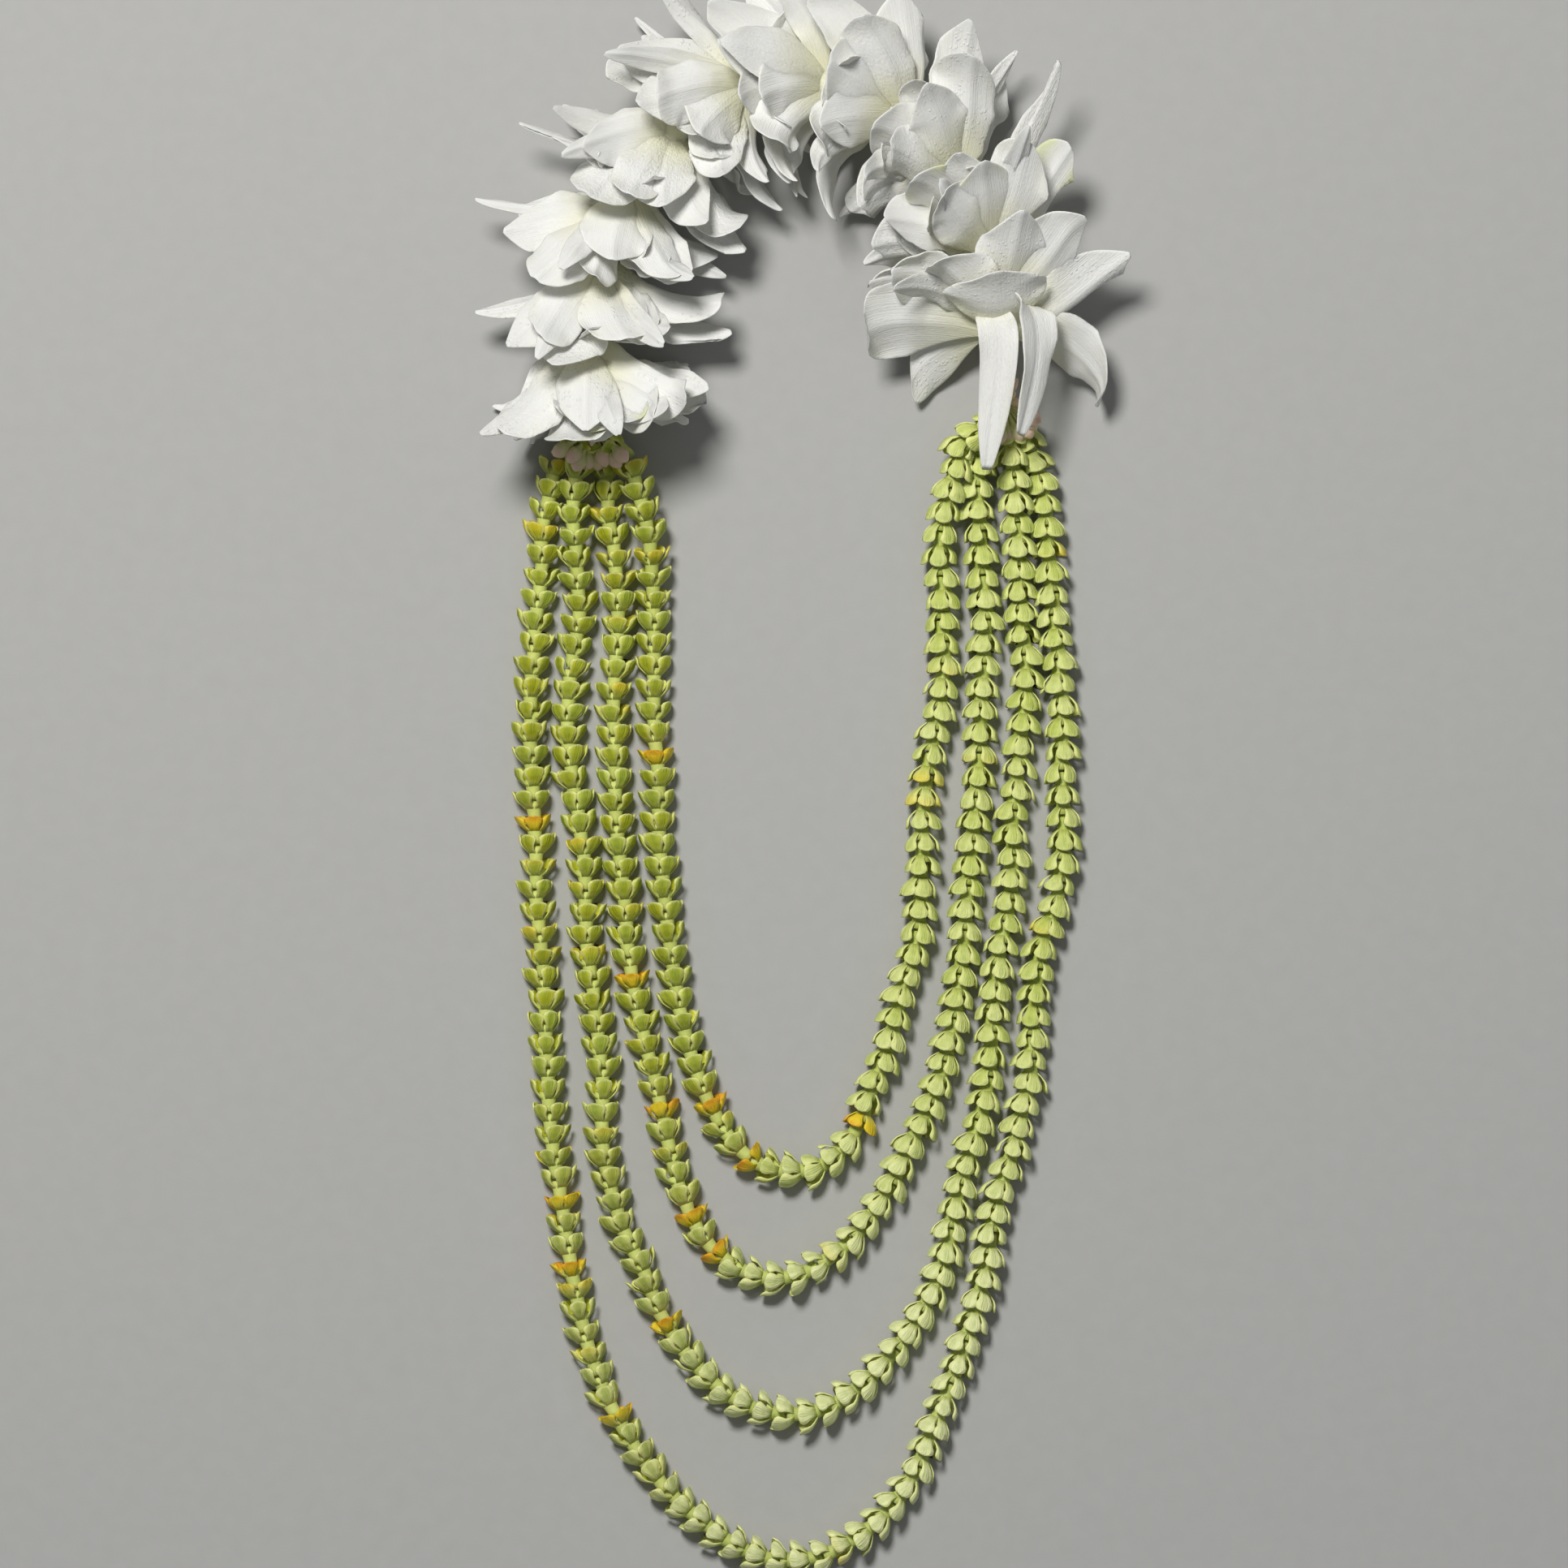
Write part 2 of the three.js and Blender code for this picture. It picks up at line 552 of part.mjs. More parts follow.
// All petals of one bloom: the placed ones, then rings by rule wherever no placed one stands.
function bloomPetals(index, random) {
  const placed = [...FEATURE_PETALS[index], RESTING_PETAL].map((spec) => makePetal(...spec));
  const petals = [...placed];
  for (const ring of PETAL_RINGS) {
    const first = 360 * random();
    for (let k = 0; k < ring.count; k++) {
      const angle = first + (360 * k) / ring.count + 16 * (random() - 0.5);
      const reach = ring.reach * (0.9 + 0.16 * random());
      const width = ring.width * (0.92 + 0.16 * random());
      const sideways = Math.abs(Math.cos(degrees(angle)));
      const layer = ring.layer + 0.5 * sideways * (0.5 - ring.layer) + 0.08 * (random() - 0.5);
      const petal = makePetal(angle, reach, width, layer, SIDE_TWIST * sideways);
      const taken = placed.some((other) => {
        const turn = Math.cos(other.angle - petal.angle);
        const near = Math.abs(other.root - petal.root) < SAME_PLACE_LAYER;
        return near && turn > Math.cos(degrees(SAME_PLACE_ANGLE));
      });
      if (!taken) petals.push(petal);
    }
  }
  return petals;
}

function cordPoints() {
  const collarRight = RIGHT_KNOT.clone().lerp(garlandPoint(0, 0, 0), 0.42);
  const collarLeft = LEFT_KNOT.clone().lerp(garlandPoint(GARLAND_LENGTH, 0, 0), 0.42);
  const steps = BLOOMS * CORD_STEPS_PER_BLOOM;
  const middle = Array.from({ length: steps + 1 }, (_, k) =>
    garlandPoint((GARLAND_LENGTH * k) / steps, 0, 0),
  );
  return [RIGHT_KNOT, collarRight, ...middle, collarLeft, LEFT_KNOT];
}

function knotAt(centre) {
  return toSolid(new THREE.IcosahedronGeometry(KNOT_RADIUS, 0).translate(...centre.toArray()));
}

// A ring of plump buds that point away from the cord, fused to a short core round it.
function budCollar(from, to, random) {
  const along = to.clone().sub(from).normalize();
  const side = new THREE.Vector3().crossVectors(along, UP).normalize();
  const up = new THREE.Vector3().crossVectors(side, along);
  let collar = tubeThrough([from, to], COLLAR_CORE_RADIUS, CORD_SIDES);
  const centre = from.clone().lerp(to, 0.5);
  for (let k = 0; k < COLLAR_BUDS; k++) {
    const turn = (2 * Math.PI * (k + 0.3 * random())) / COLLAR_BUDS;
    const direction = side.clone().multiplyScalar(Math.cos(turn)).addScaledVector(up, Math.sin(turn));
    direction.addScaledVector(along, 0.55 * (k % 2 ? 1 : -1)).normalize();
    const profile = [
      new THREE.Vector2(0, 0),
      new THREE.Vector2(BUD_RADIUS, BUD_LENGTH * 0.4),
      new THREE.Vector2(BUD_RADIUS * 0.8, BUD_LENGTH * 0.75),
      new THREE.Vector2(0, BUD_LENGTH),
    ];
    const bud = new THREE.LatheGeometry(profile, BUD_SIDES);
    bud.applyQuaternion(new THREE.Quaternion().setFromUnitVectors(new THREE.Vector3(0, 1, 0), direction));
    bud.translate(...centre.clone().addScaledVector(direction, COLLAR_CORE_RADIUS * 0.55).toArray());
    collar = collar.add(toSolid(bud));
  }
  return collar;
}

function addGarland() {
  const line = cordPoints();
  const bore = tubeThrough(line, CORD_BORE_RADIUS, CORD_SIDES);
  const random = makeRandom(SEED * 3);
  for (let index = 0; index < BLOOMS; index++) {
    const start = index * BLOOM_PITCH;
    const petals = bloomPetals(index, random).map((petal) => petalSolid(start, petal));
    const bloom = petals.reduce((joined, petal) => joined.add(petal), bloomCore(start));
    addMesh(`gardenia_${index + 1}`, bloom.subtract(bore), white);
  }
  const collars = [
    ["bud_collar_right", line[1], line[0].clone().lerp(line[1], 0.45)],
    ["bud_collar_left", line[line.length - 2], line[line.length - 1].clone().lerp(line.at(-2), 0.45)],
  ];
  for (const [name, from, to] of collars) {
    addMesh(name, budCollar(from, to, random).subtract(bore), cream);
  }
  const cord = tubeThrough(line, CORD_RADIUS, CORD_SIDES);
  addMesh("garland_cord", cord.add(knotAt(RIGHT_KNOT)).add(knotAt(LEFT_KNOT)), thread);
}

addStrands();
addGarland();

export default lei;
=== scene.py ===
# %% [markdown]
# # A fresh flower lei
# The lei is laid flat: a garland of ten white gardenias makes the neck arc, and four nested strands of small
# green flowers hang from a knot at each end of it. Every flower is strung face to back, so work goes from the
# curves to one petal, from the petal to a flower, and from the flower to a string of them.

# %% Open the frame
import math

import bpy
import numpy as np
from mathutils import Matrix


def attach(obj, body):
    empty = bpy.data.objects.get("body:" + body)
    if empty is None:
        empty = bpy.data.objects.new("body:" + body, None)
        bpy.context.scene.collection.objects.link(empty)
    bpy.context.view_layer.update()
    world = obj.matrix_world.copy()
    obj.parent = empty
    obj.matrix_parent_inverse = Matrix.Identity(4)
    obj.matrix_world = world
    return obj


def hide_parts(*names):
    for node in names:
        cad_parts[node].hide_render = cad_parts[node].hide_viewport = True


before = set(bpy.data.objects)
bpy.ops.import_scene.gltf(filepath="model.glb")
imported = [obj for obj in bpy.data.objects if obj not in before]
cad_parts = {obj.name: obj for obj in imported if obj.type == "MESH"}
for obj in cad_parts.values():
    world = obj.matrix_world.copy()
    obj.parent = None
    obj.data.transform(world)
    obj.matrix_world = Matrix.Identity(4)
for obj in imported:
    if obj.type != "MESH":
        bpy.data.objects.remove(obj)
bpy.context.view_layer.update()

# %% [markdown]
# ## Curves
# A strand lies in loose bends. Its route is a list of points joined by a smooth curve, which is walked by
# distance, because flowers are strung a fixed pitch apart. At each distance it also gives a direction to the
# side and one up, so that a petal can be placed round the thread.


# %% Routes that are walked by distance
class Route:
    """A smooth curve through points, in millimetres, that is read by the distance walked along it."""

    def __init__(self, points, steps=40):
        knots = np.array(points, float)
        first, last = 2 * knots[0] - knots[1], 2 * knots[-1] - knots[-2]
        knots = np.vstack([first, knots, last])
        t = np.linspace(0, 1, steps, endpoint=False)[:, None]
        pieces = []
        for before, start, end, after in zip(knots, knots[1:], knots[2:], knots[3:]):
            leave, arrive = (end - before) / 2, (after - start) / 2
            bend = -3 * start + 3 * end - 2 * leave - arrive
            ease = 2 * start - 2 * end + leave + arrive
            pieces.append(start + leave * t + bend * t**2 + ease * t**3)
        self.points = np.vstack([*pieces, knots[-2:-1]])
        gaps = np.linalg.norm(np.diff(self.points, axis=0), axis=1)
        self.walked = np.concatenate([[0], np.cumsum(gaps)])
        self.length = self.walked[-1]
        slopes = np.gradient(self.points, axis=0)
        self.along = slopes / np.linalg.norm(slopes, axis=1)[:, None]

    def read(self, table, distance):
        return np.stack([np.interp(distance, self.walked, column) for column in table.T], axis=-1)

    def at(self, distance):
        """The point there, and the directions along, to the side and up."""
        point, along = self.read(self.points, distance), self.read(self.along, distance)
        along /= np.linalg.norm(along, axis=-1, keepdims=True)
        side = np.cross(along, (0.0, 0.0, 1.0))
        side /= np.linalg.norm(side, axis=-1, keepdims=True)
        return point, along, side, np.cross(side, along)


# %% [markdown]
# ## Modelling tools
# An operator acts on whatever is selected, as a hand tool does on what is in the vice. So everything is
# deselected first, and points are picked by their place.


# %% Helpers for edit mode
def start_clean():
    if bpy.context.object and bpy.context.object.mode != "OBJECT":
        bpy.ops.object.mode_set(mode="OBJECT")
    bpy.ops.object.select_all(action="DESELECT")


def select_where(test):
    """In edit mode, selects just the points whose place passes the test."""
    shape = bpy.context.object
    bpy.ops.mesh.select_all(action="DESELECT")
    bpy.ops.object.mode_set(mode="OBJECT")
    for point in shape.data.vertices:
        point.select = bool(test(point.co))
    bpy.ops.object.mode_set(mode="EDIT")


def edit_all():
    """Opens the active form for editing, with all of it selected."""
    bpy.ops.object.mode_set(mode="EDIT")
    bpy.ops.mesh.select_all(action="SELECT")


def apply_modifier(kind, **settings):
    shape = bpy.context.object
    modifier = shape.modifiers.new(kind.title(), kind)
    for name, value in settings.items():
        setattr(modifier, name, value)
    bpy.ops.object.modifier_apply(modifier=modifier.name)


# %% [markdown]
# Two plain forms start every piece. A sheet is a flat grid whose rows are resized one by one, as a petal is
# cut. A turned form is a circle extruded and resized ring by ring, as on a lathe. Both are kept as patterns,
# whose points and faces are copied and laid out along a curve.


# %% Sheets and turned forms
class Pattern:
    """The points and faces of a finished form, kept to be copied."""

    def __init__(self, shape):
        flat = np.empty(len(shape.data.vertices) * 3)
        shape.data.vertices.foreach_get("co", flat)
        self.points = flat.reshape(-1, 3)
        self.faces = [tuple(face.vertices) for face in shape.data.polygons]
        print(shape.name, "pattern:", len(self.points), "points,", len(self.faces), "faces")
        bpy.data.objects.remove(shape)


def sheet_pattern(name, half_widths, columns, thickness, finer=0):
    """A petal laid flat: y runs from root to tip, 0 to 1, x across in shares of the width, z in mm."""
    start_clean()
    rows = len(half_widths) - 1
    bpy.ops.mesh.primitive_grid_add(x_subdivisions=columns, y_subdivisions=rows, size=1, location=(0, 0, 0))
    shape = bpy.context.object
    shape.name = name
    edit_all()
    bpy.ops.transform.translate(value=(0, 0.5, 0))
    for row, half_width in enumerate(half_widths):
        place = row / rows
        select_where(lambda co: abs(co.y - place) < 0.01)
        bpy.ops.transform.resize(value=(2 * half_width, 1, 1), center_override=(0, place, 0))
    bpy.ops.object.mode_set(mode="OBJECT")
    apply_modifier("SOLIDIFY", thickness=thickness, offset=0, use_even_offset=False)
    if finer:
        apply_modifier("SUBSURF", levels=finer, render_levels=finer)
    return Pattern(shape)


def turned_pattern(name, profile, sides, finer=0):
    """A form turned about z, from pairs of height and radius. Both ends are closed."""
    start_clean()
    height, radius = profile[0]
    bpy.ops.mesh.primitive_circle_add(vertices=sides, radius=radius, location=(0, 0, 0), fill_type="NGON")
    shape = bpy.context.object
    shape.name = name
    edit_all()
    bpy.ops.transform.translate(value=(0, 0, height))
    for next_height, next_radius in profile[1:]:
        bpy.ops.mesh.extrude_region_move(TRANSFORM_OT_translate={"value": (0, 0, next_height - height)})
        scale = next_radius / radius
        bpy.ops.transform.resize(value=(scale, scale, 1), center_override=(0, 0, next_height))
        height, radius = next_height, next_radius
    bpy.ops.mesh.select_all(action="SELECT")
    bpy.ops.mesh.normals_make_consistent(inside=False)
    bpy.ops.object.mode_set(mode="OBJECT")
    if finer:
        apply_modifier("SUBSURF", levels=finer, render_levels=finer)
    return Pattern(shape)


# %% [markdown]
# The parts of a bloom or strand never move apart, so they are gathered into one mesh for each node. Values
# that a finish needs, such as how far a point lies from the root of its petal, are stored with the points,
# because a pattern in space would not follow a curled petal.

# %% Gather copies into one piece
MM = 0.001


class Piece:
    def __init__(self, name, node, slot, finish):
        self.name, self.node, self.slot, self.finish = name, node, slot, finish
        self.points, self.faces, self.values = [], [], {}
        self.count = 0

    def add(self, faces, places, **values):
        """Adds a copy of these faces with its points at these places, in millimetres."""
        self.points.append(places)
        self.faces += [tuple(index + self.count for index in face) for face in faces]
        for name, value in values.items():
            self.values.setdefault(name, []).append(np.broadcast_to(value, len(places)))
        self.count += len(places)

    def build(self):
        mesh = bpy.data.meshes.new(self.name)
        mesh.from_pydata(np.vstack(self.points) * MM, [], self.faces)
        for name, parts in self.values.items():
            layer = mesh.attributes.new(name, "FLOAT", "POINT")
            layer.data.foreach_set("value", np.concatenate(parts).astype(np.float32))
        shape = bpy.data.objects.new(self.name, mesh)
        bpy.context.scene.collection.objects.link(shape)
        start_clean()
        bpy.context.view_layer.objects.active = shape
        shape.select_set(True)
        edit_all()
        bpy.ops.mesh.normals_make_consistent(inside=False)
        bpy.ops.object.mode_set(mode="OBJECT")
        bpy.ops.object.shade_smooth()
        mesh.materials.append(self.finish)
        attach(shape, "root")
        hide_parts(self.node)
        triangles = sum(len(face) - 2 for face in self.faces)
        print(self.name, triangles, "triangles")


# %% [markdown]
# ## Finishes
# A finish is a small recipe of nodes. The nodes could be joined by hand in the editor, but a sum is easier to
# read. So one class stands for a value, and adding or multiplying two values adds the node that does it.


# %% Shader recipes
class Value:
    """One output of a node. Arithmetic on it adds Math nodes to the same recipe."""

    def __init__(self, recipe, socket):
        self.recipe, self.socket = recipe, socket

    def math(self, operation, first, second):
        return self.recipe.node("ShaderNodeMath", {"operation": operation}, {0: first, 1: second})

    def __add__(self, other):
        return self.math("ADD", self, other)

    def __sub__(self, other):
        return self.math("SUBTRACT", self, other)

    def __rsub__(self, other):
        return self.math("SUBTRACT", other, self)

    def __mul__(self, other):
        return self.math("MULTIPLY", self, other)

    def __abs__(self):
        return self.recipe.node("ShaderNodeMath", {"operation": "ABSOLUTE"}, {0: self})

    __radd__ = __add__
    __rmul__ = __mul__


class Recipe:
    def __init__(self, name):
        self.material = bpy.data.materials.new(name)
        self.material.use_nodes = True
        self.tree = self.material.node_tree
        self.shader = self.tree.nodes["Principled BSDF"]

    def node(self, kind, settings=None, inputs=None, output=0):
        made = self.tree.nodes.new(kind)
        for name, value in (settings or {}).items():
            setattr(made, name, value)
        for key, value in (inputs or {}).items():
            self.put(made.inputs[key], value)
        return Value(self, made.outputs[output])

    def put(self, socket, value):
        if isinstance(value, Value):
            self.tree.links.new(value.socket, socket)
        else:
            socket.default_value = value

    def stored(self, name):
        """A value that was stored with the points of the mesh."""
        return self.node("ShaderNodeAttribute", {"attribute_name": name}, output="Fac")

    def place(self):
        """The point's place in the piece, in metres."""
        return self.node("ShaderNodeTexCoord", output="Object")

    def noise(self, vector, scale, detail=2.0, roughness=0.5):
        inputs = {"Vector": vector, "Scale": scale, "Detail": detail, "Roughness": roughness}
        return self.node("ShaderNodeTexNoise", {}, inputs)

    def mix(self, share, first, second):
        """Two colours mixed by a share between 0 and 1."""
        return self.node("ShaderNodeMix", {"data_type": "RGBA"}, {0: share, 6: first, 7: second}, output=2)

    def ease(self, value, low, high):
        """0 below low, 1 above high, and smooth between."""
        inputs = {"Value": value, "From Min": low, "From Max": high}
        return self.node("ShaderNodeMapRange", {"interpolation_type": "SMOOTHSTEP"}, inputs)

    def vector(self, x, y, z):
        return self.node("ShaderNodeCombineXYZ", {}, {0: x, 1: y, 2: z})

    def bump(self, height, distance):
        """Relief whose full height is the distance, in metres."""
        return self.node("ShaderNodeBump", {}, {"Distance": distance, "Height": height})

    def finish(self, **sockets):
        for name, value in sockets.items():
            self.put(self.shader.inputs[name.replace("_", " ").title().replace("Ior", "IOR")], value)
        return self.material


# %% [markdown]
# A gardenia petal is thick, white and a little waxy. It turns cream towards its root, and a few petals are
# flushed yellow-green at the rim. Its skin has fine lengthwise veins and a soft crepe, deeper on some petals
# than on others. Some blooms carry dew: small glossy drops, a low relief made from the cells of a Voronoi
# pattern. Light passes a little way into a petal, which softens the shading.

# %% Gardenia petal finish
WHITES = (0.82, 0.82, 0.785, 1), (0.88, 0.88, 0.85, 1)
VEIN, ROOT_CREAM, RIM_FLUSH = (0.80, 0.81, 0.70, 1), (0.80, 0.79, 0.55, 1), (0.66, 0.74, 0.16, 1)
CREPE_DEPTH = 0.0011

petal = Recipe("gardenia_petal")
along, across = petal.stored("along"), petal.stored("across")
crepe, flush, shade = petal.stored("crepe"), petal.stored("flush"), petal.stored("shade")
skin = petal.place()
cloud = petal.noise(skin, 60.0, 3.0)
veins = petal.noise(petal.vector(across * 34.0, along * 2.2, shade * 9.0), 1.0, 2.0)
crinkle = petal.noise(petal.vector(across * 13.0, along * 34.0, shade * 7.0), 1.0, 3.0, 0.5)
pores = petal.noise(skin, 900.0, 2.0)
white = petal.mix(cloud, *WHITES)
white = petal.mix(petal.ease(veins, 0.55, 0.8) * 0.14, white, VEIN)
near_root = petal.ease(along + (cloud - 0.5) * 0.25, 0.62, 0.05)
white = petal.mix(near_root * 0.9, white, ROOT_CREAM)
tinge = flush * petal.ease(along + (cloud - 0.5) * 0.6, 0.55, 1.0) * petal.ease(abs(across), 0.2, 0.9)
white = petal.mix(tinge * 0.9, white, RIM_FLUSH)
drop_cells = {"Vector": skin, "Scale": 620.0, "Randomness": 1.0}
drops = petal.ease(petal.node("ShaderNodeTexVoronoi", {}, drop_cells, output="Distance"), 0.34, 0.22)
dew = drops * petal.ease(petal.noise(skin, 110.0), 0.45, 0.55) * petal.stored("dew")
relief = crinkle * crepe * crepe * 0.5 + veins * 0.2 + pores * 0.12 + dew * 0.13
GARDENIA = petal.finish(
    base_color=white, roughness=(0.42 + cloud * 0.2) * (1 - dew * 0.6),
    normal=petal.bump(relief, CREPE_DEPTH), subsurface_weight=0.25, subsurface_radius=(1.0, 0.95, 0.7),
    subsurface_scale=0.0025, specular_ior_level=0.4,
)
print("finish:", GARDENIA.name)

# %% [markdown]
# Each flower stores how far it lies on the left side. The right side is painted a paler lime, as light, and
# the left a darker olive, as shade. Those round the bottom of the bow also store a share of painted light,
# which paints them paler. A petal has a pale rim, painted shade in the hollow of its middle and a yellower
# inside.
# Its neck is painted darker on the lime flowers, as shade under the next flower, and paler on the olive ones.
# The oldest turn yellow and then orange from their tips.

# %% Green flower finish
# Painted light and shade: the limes are painted on the right side as light, the olives on the left as shade.
LIT_LIMES = (0.58, 0.67, 0.14, 1), (0.78, 0.84, 0.33, 1)
SHADED_OLIVES = (0.50, 0.49, 0.005, 1), (0.48, 0.57, 0.07, 1)
# The darker neck colour, used on lime flowers, is painted shade under the next flower's petals; the paler one
# is used on olive flowers.
NECKS = (0.44, 0.52, 0.09, 1), (0.70, 0.78, 0.24, 1)
# The first colour on this line is painted light: it paints the flowers round the bottom of the bow paler.
PAINTED_LIGHT, SPOT, INSIDE = (0.90, 0.95, 0.50, 1), (0.30, 0.40, 0.06, 1), (0.72, 0.70, 0.02, 1)
# The first colour on this line is painted shade for the hollow in the middle of a petal; the second is the
# pale rim.
HOLLOW_SHADE, RIM = (0.22, 0.30, 0.01, 1), (0.88, 0.92, 0.36, 1)
OLD_YELLOW, OLD_ORANGE = (0.88, 0.66, 0.03, 1), (0.86, 0.42, 0.02, 1)

green = Recipe("green_flower")
along, across, own = green.stored("along"), green.stored("across"), green.stored("shade")
tone, milky = green.stored("tone"), green.stored("milky")
age, inner = green.stored("age"), green.stored("inner")
mottle = green.noise(green.place(), 420.0, 3.0)
# Painted light and shade: a paler lime on the right side, a darker olive on the left.
flesh = green.mix(tone, green.mix(own, *LIT_LIMES), green.mix(own, *SHADED_OLIVES))
# Painted light: the flowers round the bottom of the bow are painted paler.
flesh = green.mix(milky * 0.9, flesh, PAINTED_LIGHT)
flesh = green.mix(green.ease(mottle, 0.4, 0.75) * 0.25, flesh, SPOT)
flesh = green.mix(inner * (tone * 0.5 + 0.35), flesh, INSIDE)
# The neck: painted shade on the lime flowers, paler on the olive ones.
flesh = green.mix(green.ease(along, 0.5, 0.15) * 0.8, flesh, green.mix(tone, *NECKS))
# Painted shade in the hollow of the petal's middle, deeper on the olive side.
hollow_shade = green.ease(across, 0.7, 0.0) * green.ease(along, 0.3, 0.6)
flesh = green.mix(hollow_shade * (tone * 0.3 + 0.2), flesh, HOLLOW_SHADE)
rim = green.ease(across, 0.45, 1.0) * 0.8 + green.ease(along, 0.8, 1.0) * 0.7
flesh = green.mix(green.ease(rim, 0.0, 1.1) * 0.75, flesh, RIM)
flesh = green.mix(green.ease(age * (along + 0.4), 0.15, 0.6), flesh, OLD_YELLOW)
flesh = green.mix(green.ease(age * (along + 0.2), 0.5, 1.0), flesh, OLD_ORANGE)
ribs = green.noise(green.vector(across * 5.0, along * 1.5, own * 9.0), 1.0, 2.0)
GREEN = green.finish(
    base_color=flesh, roughness=0.42 + mottle * 0.25, normal=green.bump(mottle * 0.5 + ribs, 0.0005),
    subsurface_weight=0.15, subsurface_radius=(0.8, 1.0, 0.3), subsurface_scale=0.0015,
    specular_ior_level=0.4,
)
print("finish:", GREEN.name)

# %% [markdown]
# Buds of the collar are satin, green-cream at the root and flushed pink at the tip. The thread is a cotton
# twist. Its plies could be modelled, but a slanting ripple is enough for a thread that thin. The ripple is a
# relief, and in the colour it is painted shade, darker in the grooves between the plies.

# %% Bud, thread and floor finishes
bud = Recipe("flower_bud")
along, own = bud.stored("along"), bud.stored("shade")
mottle = bud.noise(bud.place(), 500.0, 2.0)
skin = bud.mix(bud.ease(along + (own - 0.5) * 0.4, 0.05, 0.7), (0.62, 0.66, 0.28, 1), (0.86, 0.60, 0.46, 1))
BUD = bud.finish(
    base_color=bud.mix(mottle * 0.35, skin, (0.88, 0.78, 0.60, 1)), roughness=0.35 + mottle * 0.2,
    normal=bud.bump(mottle, 0.0003), subsurface_weight=0.2, subsurface_radius=(1.0, 0.8, 0.6),
    subsurface_scale=0.0015,
)

cotton = Recipe("cotton_thread")
along, across = cotton.stored("along"), cotton.stored("across")
twist = cotton.node("ShaderNodeMath", {"operation": "SINE"}, {0: along * 3.2 + across * (2 * math.pi)})
fluff = cotton.noise(cotton.place(), 2500.0, 2.0)
THREAD = cotton.finish(
    # Painted shade: the colour darkens in the grooves of the twist.
    base_color=cotton.mix(twist * 0.25 + fluff * 0.5, (0.62, 0.60, 0.50, 1), (0.86, 0.84, 0.76, 1)),
    roughness=0.8 + fluff * 0.1, normal=cotton.bump(twist + fluff * 0.6, 0.0003),
)

plain = Recipe("pale_floor")
grain = plain.noise(plain.place(), 160.0, 3.0)
FLOOR = plain.finish(
    base_color=plain.mix(grain, (0.42, 0.42, 0.41, 1), (0.46, 0.46, 0.45, 1)), roughness=0.8 + grain * 0.1
)
print("finishes:", BUD.name, THREAD.name, FLOOR.name)

# %% [markdown]
# ## Strands
# Each strand runs from the right knot, down, round the bow and up to the left knot, and the mouths of the
# flowers point along it. A chain of flowers never hangs as a plain arc, so its points are listed one by one.
# It lies a little above the table, and climbs to the knots at both ends.

# %% The four routes
AXIS_HEIGHT = 5.2
RISE_LENGTH = 62
# Name, height of the axis at its ends, the y under which the bow starts, and the points, in millimetres
STRANDS = [
    ("strand_1", 7, -150, [
        [76.5, 117], [82, 100], [83.5, 83.5], [86, 57], [88, 31.5], [88.5, 6.5], [89, -19], [87, -38.5],
        [82, -55], [79, -77.5], [77, -103], [72, -125], [65.5, -147.5], [61.5, -170], [55.5, -192.5],
        [48.5, -212], [42.5, -226], [36, -241.5], [25, -254.5], [12, -264], [-3.5, -268.5],
        [-19, -265.5], [-34, -256], [-48.5, -243], [-60.5, -226.5], [-70, -208], [-76, -189.5],
        [-80, -170], [-84, -145], [-87.5, -122.5], [-89, -97], [-90, -69], [-92.5, -41], [-93, -16],
        [-94.5, 9], [-94.5, 29], [-93, 52.5], [-91, 71], [-90.5, 86], [-88, 100], [-85, 113.5]]),
    ("strand_2", 12, -110, [
        [70.5, 119], [71.5, 103], [73, 85], [74, 62.5], [76, 36], [74, 12], [71.5, -13], [71, -35.5],
        [67, -58], [64.5, -80.5], [63.5, -100], [58, -124], [52, -143.5], [47.5, -166], [39, -184.5],
        [26.5, -201], [12.5, -213], [-3.5, -218], [-19.5, -215], [-34.5, -204.5], [-47, -188.5],
        [-55.5, -169], [-64.5, -149], [-69.5, -126.5], [-70, -103], [-72.5, -77.5], [-75.5, -52.5],
        [-76, -30], [-79, -6], [-82, 16], [-81, 36], [-78, 55.5], [-78.5, 75], [-80, 92], [-78.5, 112.5]]),
    ("strand_3", 7, -85, [
        [60.5, 116], [59.5, 100], [60.5, 79], [62, 57], [61, 34.5], [60, 12], [58, -13], [56, -37],
        [54, -61], [51, -84.5], [45, -105.5], [36.5, -124.5], [27.5, -142], [16, -157.5], [2, -168],
        [-12, -171], [-25, -166.5], [-36, -156], [-43, -140.5], [-47.5, -122.5], [-52, -101.5],
        [-57, -82], [-60.5, -61], [-62.5, -38.5], [-65, -16], [-65.5, 8], [-66, 31.5], [-64.5, 54],
        [-65.5, 76.5], [-68, 94.5], [-68.5, 112.5]]),
    ("strand_4", 12, -62, [
        [54, 115], [50, 101.5], [47, 83.5], [47, 61], [47.5, 38.5], [44, 13.5], [40.5, -9], [40, -33],
        [38, -56.5], [33, -74], [28, -92], [22.5, -107.5], [16.5, -121.5], [7.5, -131], [-5, -134.5],
        [-18, -130.5], [-28.5, -119], [-36, -104], [-41.5, -86], [-45, -66.5], [-48, -44], [-50, -21.5],
        [-50.5, 1], [-52, 22], [-52, 44], [-52.5, 66.5], [-54, 85], [-57.5, 100], [-61, 112.5]]),
]


def smooth_step(value, low, high):
    t = np.clip((value - low) / (high - low), 0, 1)
    return t * t * (3 - 2 * t)


